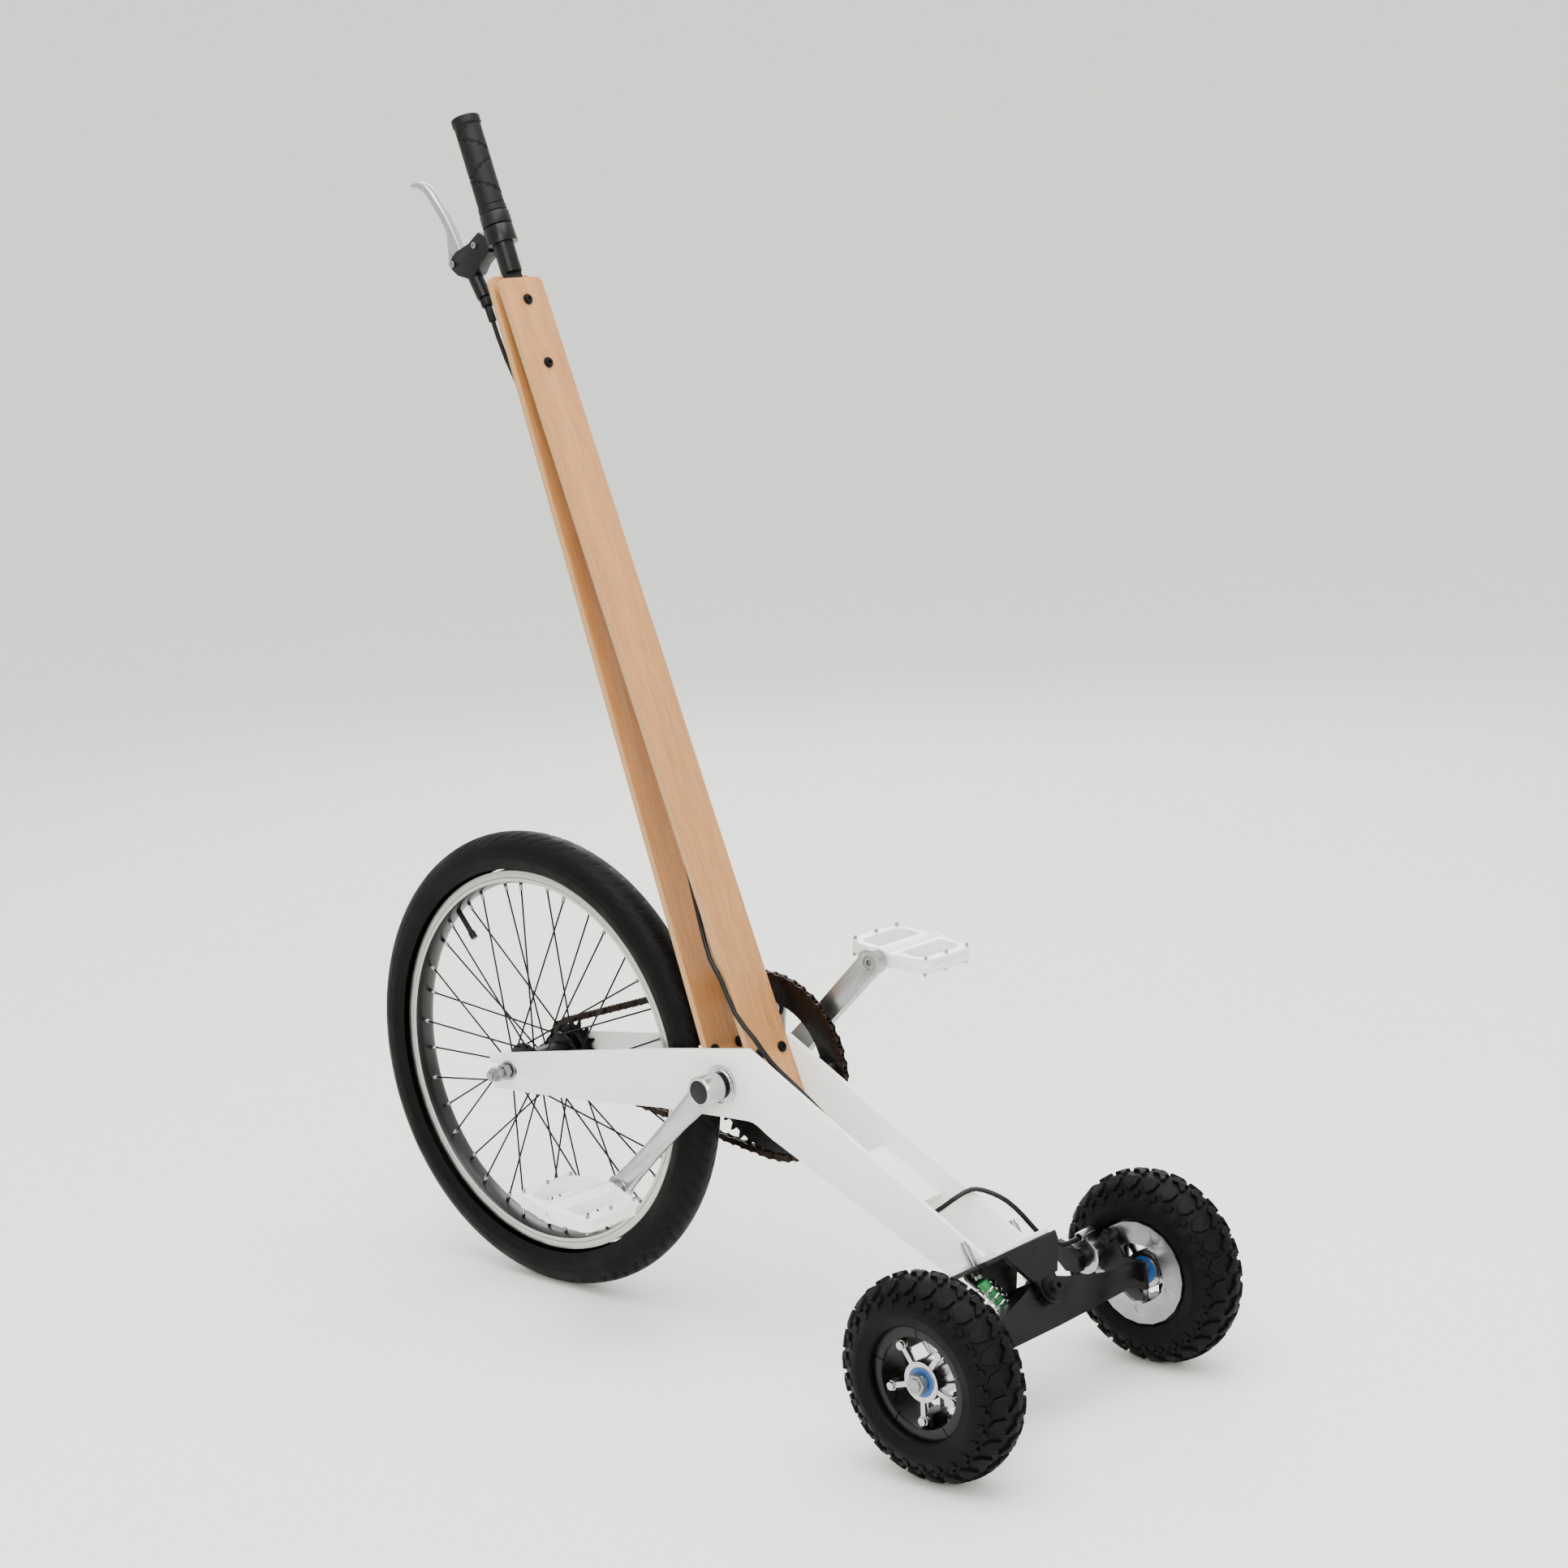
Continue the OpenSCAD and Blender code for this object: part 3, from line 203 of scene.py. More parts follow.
two_tone_rim, tree, shader = begin("black_rim_with_machined_sides", 1.0, 0.30)
place = add(tree, "TexCoord").outputs["Object"]
out = add(tree, "VectorMath", {0: place, 1: tuple(front_axle)}, operation="SUBTRACT")
flat = add(tree, "VectorMath", {0: out.outputs[0], 1: (1, 0, 1)}, operation="MULTIPLY")
radius = add(tree, "VectorMath", {0: flat.outputs[0]}, operation="LENGTH").outputs["Value"]
outside = add(tree, "Math", {0: radius, 1: TRACK_IN}, operation="GREATER_THAN")
wear = add(tree, "Math", {0: radius, 1: WEAR_GROOVE, 2: 0.35 * MM}, operation="COMPARE")
looks = add(tree, "SeparateXYZ", {0: add(tree, "NewGeometry").outputs["Normal"]})
sideways = add(tree, "Math", {0: looks.outputs["Y"]}, operation="ABSOLUTE")
is_side = add(tree, "Math", {0: sideways.outputs[0], 1: 0.6}, operation="GREATER_THAN")
bright = add(tree, "Math", {0: outside.outputs[0], 1: is_side.outputs[0]}, operation="MULTIPLY")
bare = add(tree, "Math", {0: bright.outputs[0], 1: wear.outputs[0]}, operation="SUBTRACT", use_clamp=True)
tone = add(tree, "Mix", {0: bare.outputs[0], 6: linear("#070708"), 7: linear("#B4B4B1")}, data_type="RGBA")
tree.links.new(tone.outputs[2], shader.inputs["Base Color"])
metal = add(tree, "MapRange", {0: bare.outputs[0], 3: 0.2, 4: 1.0})
tree.links.new(metal.outputs[0], shader.inputs["Metallic"])
turning = add(tree, "TexNoise", {"Vector": add(tree, "CombineXYZ", {0: radius}).outputs[0],
                                 "Scale": 1000 / 0.5, "Detail": 2.0})
marks = add(tree, "MapRange", {0: turning.outputs["Fac"], 3: 0.24, 4: 0.40})
tree.links.new(marks.outputs[0], shader.inputs["Roughness"])
ripple = add(tree, "Bump", {"Height": turning.outputs["Fac"], "Distance": 0.004 * MM})
tree.links.new(ripple.outputs["Normal"], shader.inputs["Normal"])
print("rim track from", round(TRACK_IN / MM, 1), "to", round(RIM_OUT / MM, 1), "mm")

# %% [markdown]
# ## Plastic and rubber
# Moulded black plastic has a fine spark-eroded grain. Rubber is rougher, and the tyre rubber is nearly black
# with a low specular level. The dampers in the truck are green elastomer, and the bearings have blue
# rubber seals.

# %% Plastics and rubbers
moulded_black, tree, shader = begin("moulded_black_nylon", 0.0, 0.45, IOR=1.5, Specular_IOR_Level=0.25)
mottle(tree, shader, "#050506", "#0A0A0B", 20, 0.5, 14, (0.36, 0.50))

cable_sheath, tree, shader = begin("extruded_pvc_cable_sheath", 0.0, 0.34, IOR=1.53, Specular_IOR_Level=0.22)
mottle(tree, shader, "#040404", "#070708", 30, 0.8, 6, (0.22, 0.34))

grip_rubber, tree, shader = begin("moulded_grip_rubber", 0.0, 0.52, IOR=1.5, Specular_IOR_Level=0.2)
mottle(tree, shader, "#050506", "#0A0A0B", 12, 0.35, 14, (0.44, 0.60))

tyre_rubber, tree, shader = begin("vulcanised_tyre_rubber", 0.0, 0.60, IOR=1.5, Specular_IOR_Level=0.10)
mottle(tree, shader, "#020202", "#060606", 30, 0.6, 22, (0.46, 0.66))

green_elastomer, tree, shader = begin("green_elastomer", 0.0, 0.40, IOR=1.5)
mottle(tree, shader, "#1E6E36", "#2C8746", 8, 0.6, 10, (0.32, 0.48))

blue_seal, tree, shader = begin("blue_bearing_seal", 0.0, 0.40, IOR=1.5)
mottle(tree, shader, "#123F78", "#1A5190", 5, 0.5, 8, (0.34, 0.46))
print("plastics and rubbers ready")

# %% [markdown]
# ## Beech plywood
# The planks are beech plywood. Their faces show short dark flecks that run along the plank, on a warm tan.
# The edges show the layers: thin sheets, pale where the grain runs along the edge and darker where it is
# cut across, with a brown glue line between. The pattern is drawn in the plank's own directions, so each
# plank has its own turned coordinates: one axis through the thickness, one across, one along.

# %% Plywood
LAYER = 1.13 * MM              # one sheet of veneer
GLUE = 0.16                    # share of a layer that reads as glue line
GRAIN_DEPTH = 0.06 * MM


def plywood(name, lean, corner):
    """Plywood whose layers lie square to a plank that leans by that many degrees."""
    material, tree, shader = begin(name, 0.0, 0.45, IOR=1.5, Coat_Weight=0.15, Coat_Roughness=0.3)
    place = add(tree, "TexCoord").outputs["Object"]
    upright = add(tree, "VectorRotate", {"Vector": place, "Center": corner, "Axis": (0, 1, 0),
                                         "Angle": -math.radians(lean)}, rotation_type="AXIS_ANGLE")
    moved = add(tree, "VectorMath", {0: upright.outputs[0], 1: corner}, operation="SUBTRACT")
    axes = add(tree, "SeparateXYZ", {0: moved.outputs[0]})
    # flecks: a noise stretched forty times along the plank
    stretched = add(tree, "Mapping", {"Vector": moved.outputs[0], "Scale": (60.0, 900.0, 28.0)})
    flecks = add(tree, "TexNoise", {"Vector": stretched.outputs[0], "Scale": 1.0, "Detail": 3.0,
                                    "Roughness": 0.6})
    fleck_ramp = add(tree, "ValToRGB", {"Fac": flecks.outputs["Fac"]})
    fleck_ramp.color_ramp.elements[0].position = 0.36
    fleck_ramp.color_ramp.elements[0].color = linear("#845228")
    fleck_ramp.color_ramp.elements[1].position = 0.56
    fleck_ramp.color_ramp.elements[1].color = linear("#B07A45")
    broad = add(tree, "Mapping", {"Vector": moved.outputs[0], "Scale": (40.0, 60.0, 5.0)})
    clouds = add(tree, "TexNoise", {"Vector": broad.outputs[0], "Scale": 1.0, "Detail": 2.0})
    warm = add(tree, "Mix", {0: clouds.outputs["Fac"], 6: linear("#9A6532"), 7: linear("#BF8C58")},
               data_type="RGBA")
    face = add(tree, "Mix", {0: 0.5, 6: fleck_ramp.outputs[0], 7: warm.outputs[2]}, data_type="RGBA")
    # layers: which sheet, and how far through it
    depth = add(tree, "Math", {0: axes.outputs["X"], 1: LAYER}, operation="DIVIDE")
    through = add(tree, "Math", {0: depth.outputs[0]}, operation="FRACT")
    glue = add(tree, "Math", {0: through.outputs[0], 1: GLUE}, operation="LESS_THAN")
    sheet = add(tree, "Math", {0: depth.outputs[0]}, operation="FLOOR")
    odd = add(tree, "Math", {0: sheet.outputs[0], 1: 2.0}, operation="FLOORED_MODULO")
    edge_tone = add(tree, "Mix", {0: odd.outputs[0], 6: linear("#CFA66F"), 7: linear("#946238")},
                    data_type="RGBA")
    edge = add(tree, "Mix", {0: glue.outputs[0], 6: edge_tone.outputs[2], 7: linear("#52301A")},
               data_type="RGBA")
    # an edge is where the surface doesn't face along the thickness
    normal = add(tree, "NewGeometry").outputs["Normal"]
    thickness = (math.cos(math.radians(lean)), 0, -math.sin(math.radians(lean)))
    square = add(tree, "VectorMath", {0: normal, 1: thickness}, operation="DOT_PRODUCT")
    facing = add(tree, "Math", {0: square.outputs["Value"]}, operation="ABSOLUTE")
    is_face = add(tree, "Math", {0: facing.outputs[0], 1: 0.75}, operation="GREATER_THAN")
    both = add(tree, "Mix", {0: is_face.outputs[0], 6: edge.outputs[2], 7: face.outputs[2]}, data_type="RGBA")
    tree.links.new(both.outputs[2], shader.inputs["Base Color"])
    bump = add(tree, "Bump", {"Height": flecks.outputs["Fac"], "Strength": 0.6, "Distance": GRAIN_DEPTH})
    tree.links.new(bump.outputs["Normal"], shader.inputs["Normal"])
    return material


LEAN_REAR = 20.5
LEAN_FRONT = 17.4
rear_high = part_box("plank_rear")[1]
front_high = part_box("plank_front")[1]
rear_corner = (rear_high[0], 0.0, rear_high[2])
front_corner = (front_high[0], 0.0, front_high[2])
ply_rear = plywood("beech_plywood_rear", LEAN_REAR, rear_corner)
ply_front = plywood("beech_plywood_front", LEAN_FRONT, front_corner)
print("plywood ready")


# %% [markdown]
# ## Dressing the solid parts
# Each solid part gets its finish here. Machined and moulded parts never have a perfectly sharp edge, and
# the thin line of light along an edge is much of what makes metal look real, so each part has its edges
# rounded by a fraction of a millimetre with a bevel. The vertices are welded first, so that faces share
# their edges.

# %% Finishes by part
dress = {
    powder_white: "side_plate_left side_plate_right cross_panel mount_plate post_brackets bb_shell",
    gloss_white: "pedal_left pedal_right",
    satin_black: "bar_tube lever_perch truck_baseplate hanger rim_left rim_right caliper_bracket",
    anodised_black: "front_hub chainring",
    two_tone_rim: "front_rim",
    polished_alloy: "brake_lever crank_left caliper_body star_hub_left star_hub_right",
    satin_alloy: "crank_right brake_disc",
    zinc_steel: "perch_screws front_axle axle_nuts spring_bolts rear_axle rear_axle_nuts chainring_bolts "
                "pedal_spindles pedal_pins_left pedal_pins_right spoke_nipples",
    chrome_steel: "bb_cups truck_springs",
    dark_steel: "bb_spindle front_cog spokes plank_bolts pivot_bolt front_valve",
    oiled_chain: "chain",
    moulded_black: "grip_lock_ring crank_caps caliper_actuator",
    cable_sheath: "brake_cable",
    grip_rubber: "grip cable_boot",
    tyre_rubber: "front_tyre tyre_left tyre_right",
    green_elastomer: "truck_dampers",
    blue_seal: "bearings_left bearings_right",
    ply_rear: "plank_rear",
    ply_front: "plank_front",
}
ROUND = {"side_plate_left": 0.7, "side_plate_right": 0.7, "pedal_left": 1.2, "pedal_right": 1.2,
         "crank_left": 2.2, "crank_right": 1.6, "brake_lever": 2.4, "lever_perch": 1.6, "hanger": 2.0,
         "grip_lock_ring": 0.8, "caliper_body": 1.6, "caliper_actuator": 1.6, "mount_plate": 0.6,
         "plank_rear": 0.4, "plank_front": 0.4, "front_rim": 0.3, "rim_left": 0.8, "rim_right": 0.8}
USUAL_ROUND = 0.35             # edge radius in millimetres of a part that ROUND leaves out
EDGE_ANGLE = 32                # degrees between two faces that meet in an edge
WELD_WITHIN = 0.01 * MM
SMOOTH_ONLY = {"brake_cable", "truck_springs", "spokes", "front_tyre", "tyre_left", "tyre_right", "chain",
               "spoke_nipples"}


def dress_part(name, material):
    """Gives a solid part its material, welded faces and softly rounded edges."""
    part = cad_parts[name]
    part.data.materials.clear()
    part.data.materials.append(material)
    part.data.polygons.foreach_set("use_smooth", [True] * len(part.data.polygons))
    weld = part.modifiers.new("weld", "WELD")
    weld.merge_threshold = WELD_WITHIN
    if name not in SMOOTH_ONLY:
        bevel = part.modifiers.new("rounded_edges", "BEVEL")
        bevel.width = ROUND.get(name, USUAL_ROUND) * MM
        bevel.segments = 3
        bevel.limit_method = "ANGLE"
        bevel.angle_limit = math.radians(EDGE_ANGLE)
        bevel.use_clamp_overlap = True
        bevel.harden_normals = True
    return part


for material, names in dress.items():
    for name in names.split():
        dress_part(name, material)
print("dressed", sum(len(names.split()) for names in dress.values()), "parts")


# %% [markdown]
# ## Mesh helpers
# A tyre is a ring with the same section all the way round, so its carcass is a profile turned about the
# axle. Tread blocks, knobs and grooves are then placed on that ring by two numbers: the angle round the
# axle, and the angle round the section. Working in those two numbers keeps every block the same shape
# wherever it sits.

# %% Mesh helpers
def make_piece(name, corners, faces, material, body, smooth=True):
    """A mesh piece that moves with a body and takes the finish it is given."""
    mesh = bpy.data.meshes.new(name)
    mesh.from_pydata([tuple(c) for c in corners], [], faces)
    mesh.polygons.foreach_set("use_smooth", [smooth] * len(mesh.polygons))
    mesh.materials.append(material)
    piece = bpy.data.objects.new(name, mesh)
    bpy.context.scene.collection.objects.link(piece)
    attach(piece, body)
    return piece


def tidy_normals(piece):
    """Turns every face of a closed mesh outwards."""
    fix = bmesh.new()
    fix.from_mesh(piece.data)
    bmesh.ops.recalc_face_normals(fix, faces=fix.faces)
    fix.to_mesh(piece.data)
    fix.free()


def ring_point(centre, ring_radius, section_radius, round_axle, round_section):
    """A point on a ring about an axle along Y: angles in radians, distances in metres."""
    out = ring_radius + section_radius * math.cos(round_section)
    return Vector((centre[0] + out * math.cos(round_axle),
                   centre[1] + section_radius * math.sin(round_section),
                   centre[2] + out * math.sin(round_axle)))


def turned(profile, centre, steps):
    """Corners and faces of a closed profile, given as (distance from axle, across), turned about the axle."""
    corners, faces, count = [], [], len(profile)
    for i in range(steps):
        a = math.tau * i / steps
        corners += [(centre[0] + r * math.cos(a), centre[1] + y, centre[2] + r * math.sin(a))
                    for r, y in profile]
    for i in range(steps):
        for j in range(count):
            here, there = i * count, (i + 1) % steps * count
            k = (j + 1) % count
            faces.append((here + j, here + k, there + k, there + j))
    return corners, faces


# %% [markdown]
# ## The small knobbly tyres
# Each rear tyre is 200 mm across, with a deep tread for loose ground. Its blocks stand three millimetres
# proud in staggered rows: a chevron row down the middle, house-shaped blocks on the shoulders, and small
# lugs below them. A real block has sloped sides so that it comes out of its mould, so each is built from
# three outlines: a wide foot, a middle, and a smaller crown with a soft edge.

# %% Tread blocks and carcass
SMALL_R = 98 * MM              # outside of the tread
SECTION_R = 30 * MM            # outside of the tyre's section
SECTION_RING = SMALL_R - SECTION_R
BLOCK_H = 3.0 * MM
PITCHES = 26                   # blocks round the tyre in each row
PITCH = math.tau * SMALL_R / PITCHES
CARCASS_STEPS = 144

HOUSE = [(-8.2, 14.5), (-3.0, 13.0), (0.5, 15.5), (4.5, 13.0), (8.6, 15.0), (7.6, 24.0), (1.5, 30.0),
         (-6.2, 25.5)]
CHEVRON = [(-9.5, -1.5), (-6.0, 3.5), (-1.0, 2.0), (3.0, 6.0), (8.0, 11.0), (10.2, 6.0), (6.5, 1.0),
           (8.2, -3.0), (3.2, -6.5), (-2.0, -4.0), (-6.5, -9.5), (-10.0, -7.0)]
LUG = [(-4.6, 34.0), (4.6, 34.0), (4.0, 42.0), (-4.0, 42.0)]
BRIDGE = [(-3.4, 31.0), (2.6, 29.0), (4.4, 34.5), (-2.6, 36.0)]


def block(outline, middle, side, start, corners, faces, centre):
    """Adds one tread block: an outline in millimetres on the tyre's surface, raised in three steps."""
    count = len(outline)
    mid_u = sum(u for u, v in outline) / count
    mid_v = sum(v for u, v in outline) / count
    base = len(corners)
    for grow, height in ((1.10, -0.6), (1.0, BLOCK_H / MM - 0.5), (0.90, BLOCK_H / MM)):
        radius = SECTION_R - BLOCK_H + height * MM
        for u, v in outline:
            along = (mid_u + (u - mid_u) * grow + middle) * MM
            over = side * (mid_v + (v - mid_v) * grow) * MM
            corners.append(ring_point(centre, SECTION_RING, radius,
                                      start + along / SMALL_R, over / SECTION_R))
    for level in range(2):
        for j in range(count):
            k = (j + 1) % count
            quad = [base + level * count + j, base + level * count + k,
                    base + (level + 1) * count + k, base + (level + 1) * count + j]
            faces.append(quad if side > 0 else quad[::-1])
    top = [base + 2 * count + j for j in range(count)]
    faces.append(top if side > 0 else top[::-1])


def small_tyre(name, centre, body):
    """One knobbly tyre: its carcass and its tread, as one mesh."""
    profile = []
    for degrees in range(-118, 119, 4):
        shoulder = min(1, max(0, (abs(degrees) - 62) / 22))
        r = SECTION_R - BLOCK_H * (1 - shoulder) - 0.3 * MM
        # two raised rings on each side wall
        if 92 <= abs(degrees) <= 96 or abs(degrees) == 112:
            r += 0.7 * MM
        a = math.radians(degrees)
        profile.append((SECTION_RING + r * math.cos(a), r * math.sin(a)))
    profile += [(54 * MM, 20 * MM), (54 * MM, -20 * MM)]
    corners, faces = turned(profile, centre, CARCASS_STEPS)
    carcass_faces = len(faces)
    for i in range(PITCHES):
        start = math.tau * i / PITCHES
        for side in (-1, 1):
            shift = 0 if side > 0 else PITCH / MM / 2
            block(HOUSE, shift, side, start, corners, faces, centre)
            block(LUG, shift + PITCH / MM / 4, side, start, corners, faces, centre)
            block(BRIDGE, shift + PITCH / MM / 2, side, start, corners, faces, centre)
        block(CHEVRON, 0, 1, start, corners, faces, centre)
    tyre = make_piece(name, corners, faces, tyre_rubber, body)
    flags = [i < carcass_faces for i in range(len(faces))]
    tyre.data.polygons.foreach_set("use_smooth", flags)
    tidy_normals(tyre)
    return tyre


def middle_of(node):
    """The middle of a solid part's box."""
    low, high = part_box(node)
    return tuple((a + b) / 2 for a, b in zip(low, high))


for side in ("left", "right"):
    tyre = small_tyre("tread_" + side, middle_of("tyre_" + side), "wheel_" + side)
    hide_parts("tyre_" + side)
    print(tyre.name, len(tyre.data.polygons), "faces")

# %% [markdown]
# ## The large tyre
# The front tyre is a nearly smooth city tyre. Its tread has shallow curved sipes that sweep back from the
# middle, a fine rib where each shoulder begins, and rings moulded on the side wall. The profile is turned,
# and the sipes are pressed into its crown by moving the points that fall inside them.

# %% Front tyre
axle_low, axle_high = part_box("front_tyre")
tyre_middle = middle_of("front_tyre")
BIG_R = (axle_high[2] - axle_low[2]) / 2
BIG_SECTION = (axle_high[1] - axle_low[1]) / 2
BIG_RING = BIG_R - BIG_SECTION
SIPES = 84
SIPE_DEPTH = 0.9 * MM


def sipe_depth(round_axle, degrees):
    """How deep the tread is cut at a place: curved sipes that stop short of the middle."""
    off = abs(degrees)
    if not 6 < off < 52:
        return 0
    swept = round_axle * SIPES / math.tau + (off / 46) ** 1.6 + (0.5 if degrees < 0 else 0)
    gap = abs(swept - round(swept))
    longer = 52 if round(swept) % 3 else 40
    return SIPE_DEPTH if gap < 0.075 and off < longer else 0


degrees_across = list(range(-130, 131, 4))
steps = SIPES * 12
corners, faces = [], []
for i in range(steps):
    a = math.tau * i / steps
    for degrees in degrees_across:
        r = BIG_SECTION - sipe_depth(a, degrees)
        if abs(degrees) in (86, 110):
            r -= 0.5 * MM
        corners.append(ring_point(tyre_middle, BIG_RING, r, a, math.radians(degrees)))
across_count = len(degrees_across)
for i in range(steps):
    here, there = i * across_count, (i + 1) % steps * across_count
    for j in range(across_count - 1):
        faces.append((here + j, here + j + 1, there + j + 1, there + j))
big_tyre = make_piece("front_tread", corners, faces, tyre_rubber, "front_wheel")
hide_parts("front_tyre")
print("front tyre", len(faces), "faces")

# %% [markdown]
# ## The grip
# The grip is a rubber sleeve with a flange at its end. A pattern like two crossing chains is moulded into
# it: a pair of fine grooves that swell and close like links, wound round the sleeve in both directions. The
# sleeve is made as a fine net of points about the bar's axis, and each point inside a groove moves in by
# the groove's depth.

# %% Grip
grip_low, grip_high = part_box("grip")
BAR_LEAN = math.radians(18.95)
bar_up = Vector((math.sin(BAR_LEAN), 0, math.cos(BAR_LEAN)))
bar_side = Vector((math.cos(BAR_LEAN), 0, -math.sin(BAR_LEAN)))
GRIP_LEN = 104 * MM
GRIP_R = 14.1 * MM
FLANGE_R = 15.2 * MM
grip_mid = Vector(((grip_low[0] + grip_high[0]) / 2, 0, (grip_low[2] + grip_high[2]) / 2))
grip_foot = grip_mid - bar_up * GRIP_LEN / 2
CHAIN_RISE = 46 * MM           # how far a groove climbs in one turn
LINK = 9 * MM                  # length of one link in the pattern


def groove(round_bar, height):
    """Depth of the crossed chain grooves at a place on the sleeve."""
    deepest = 0
    for hand in (-1, 1):
        turns = height / CHAIN_RISE - hand * round_bar / math.tau + (0.35 if hand > 0 else 0)
        off = abs(turns - round(turns)) * CHAIN_RISE * 0.86
        along = round_bar * GRIP_R * hand + height * 0.5
        swell = 1.5 * MM * abs(math.sin(math.pi * along / LINK))
        if abs(off - swell) < 0.55 * MM or off < 0.35 * MM:
            deepest = max(deepest, 1.0 * MM)
    return deepest


sleeve = []
rows, cols = 210, 168
for i in range(rows + 1):
    height = GRIP_LEN * i / rows
    from_top = GRIP_LEN - height
    for j in range(cols):
        a = math.tau * j / cols
        if from_top < 9 * MM:
            r = FLANGE_R - (0.8 * MM if from_top < 0.6 * MM or from_top > 8.4 * MM else 0)
        elif from_top < 10.2 * MM:
            r = GRIP_R - 1.2 * MM
        elif height < 7 * MM:
            r = 14.8 * MM - (0.6 * MM if height < 0.6 * MM else 0)
        elif height < 8 * MM:
            r = GRIP_R - 0.9 * MM
        else:
            r = GRIP_R - groove(a, height)
        sleeve.append(grip_foot + bar_up * height + bar_side * r * math.cos(a)
                      + Vector((0, r * math.sin(a), 0)))
faces = []
for i in range(rows):
    for j in range(cols):
        k = (j + 1) % cols
        faces.append((i * cols + j, i * cols + k, (i + 1) * cols + k, (i + 1) * cols + j))
faces.append(tuple(rows * cols + j for j in range(cols)))
faces.append(tuple(cols - 1 - j for j in range(cols)))
sleeve_piece = make_piece("grip_sleeve", sleeve, faces, grip_rubber, "frame")
sleeve_piece.data.polygons[len(faces) - 2].use_smooth = False
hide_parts("grip")
print("grip", len(faces), "faces")


# %% [markdown]
# ## The chain
# The chain is half-inch roller chain. Each link has two plates with a narrow waist, so that they clear
# their neighbours where the chain bends. Inner and outer pairs take turns, and a riveted pin joins them
# through a roller. The chain follows a belt line: round the chainring, along a straight run, round the cog,
# and back. A place on it is one number, the distance from where it leaves the chainring at the top.

# %% The chain's path
CHAIN_PITCH = 12.7 * MM
RING_TEETH = 48
COG_TEETH = 16
crank_axis = Vector(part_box("bb_shell")[0]).lerp(Vector(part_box("bb_shell")[1]), 0.5)
chain_low, chain_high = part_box("chain")
chain_y = (chain_low[1] + chain_high[1]) / 2
ring_r = CHAIN_PITCH / 2 / math.sin(math.pi / RING_TEETH)
cog_r = CHAIN_PITCH / 2 / math.sin(math.pi / COG_TEETH)
apart = math.hypot(front_axle.x - crank_axis.x, front_axle.z - crank_axis.z)
towards = math.atan2(front_axle.z - crank_axis.z, front_axle.x - crank_axis.x)
wrap = math.asin((ring_r - cog_r) / apart)
straight = apart * math.cos(wrap)
ring_arc = ring_r * (math.pi + 2 * wrap)
cog_arc = cog_r * (math.pi - 2 * wrap)
top_angle = towards + math.pi / 2 - wrap
low_angle = top_angle + math.pi + 2 * wrap


def along_chain(s):
    """The place on the chain's line at a distance along it, as a point in X and Z."""
    ring_centre = Vector((crank_axis.x, crank_axis.z))
    cog_centre = Vector((front_axle.x, front_axle.z))
    if s < ring_arc:
        a = top_angle + s / ring_r
        return ring_centre + ring_r * Vector((math.cos(a), math.sin(a)))
    s -= ring_arc
    if s < straight:
        a = low_angle
        return (ring_centre + ring_r * Vector((math.cos(a), math.sin(a)))
                + s * Vector((-math.sin(a), math.cos(a))))
    s -= straight
    if s < cog_arc:
        a = low_angle + s / cog_r
        return cog_centre + cog_r * Vector((math.cos(a), math.sin(a)))
    s -= cog_arc
    a = top_angle
    return cog_centre + cog_r * Vector((math.cos(a), math.sin(a))) + s * Vector((-math.sin(a), math.cos(a)))


def spread(start, end):
    """Pins along a straight run, evenly, as near to one pitch apart as fits."""
    count = round((end - start) / CHAIN_PITCH)
    return [start + k * (end - start) / count for k in range(1, count)]


ring_step = math.tau * ring_r / RING_TEETH
cog_step = math.tau * cog_r / COG_TEETH
pins = [k * ring_step for k in range(int(ring_arc / ring_step) + 1)]
cog_pins = [ring_arc + straight + k * cog_step for k in range(int(cog_arc / cog_step) + 1)]
pins += spread(pins[-1], cog_pins[0]) + cog_pins + spread(cog_pins[-1], ring_arc + 2 * straight + cog_arc)
pin_places = [along_chain(s) for s in pins]
print("chain pins:", len(pins))

# %% Links and pins
PLATE_END = 4.15 * MM          # radius of a plate's round end
WAIST = 3.0 * MM               # half height of a plate at its waist
PLATE_T = 1.0 * MM
OUTER_Y = 3.55 * MM            # outer face of an outer plate, from the chain's middle
ROLLER_R = 3.9 * MM


def link_plate(a, b, y_low, y_high, corners, faces):
    """Adds one waisted plate between two pins."""
    ahead = (b - a).normalized()
    over = Vector((-ahead.y, ahead.x))
    gap = (b - a).length
    ring = []
    for centre, first in ((b, -125), (a, 55)):
        for step in range(11):
            turn_by = math.radians(first + 25 * step)
            ring.append(centre + PLATE_END * (math.cos(turn_by) * ahead + math.sin(turn_by) * over))
        side = 1 if centre is b else -1
        ring.append(a + ahead * gap / 2 + over * WAIST * side)
    base, count = len(corners), len(ring)
    for y in (y_low, y_high):
        corners.extend((p.x, chain_y + y, p.y) for p in ring)
    for j in range(count):
        k = (j + 1) % count
        faces.append((base + j, base + k, base + count + k, base + count + j))
    faces.append(tuple(base + j for j in reversed(range(count))))
    faces.append(tuple(base + count + j for j in range(count)))


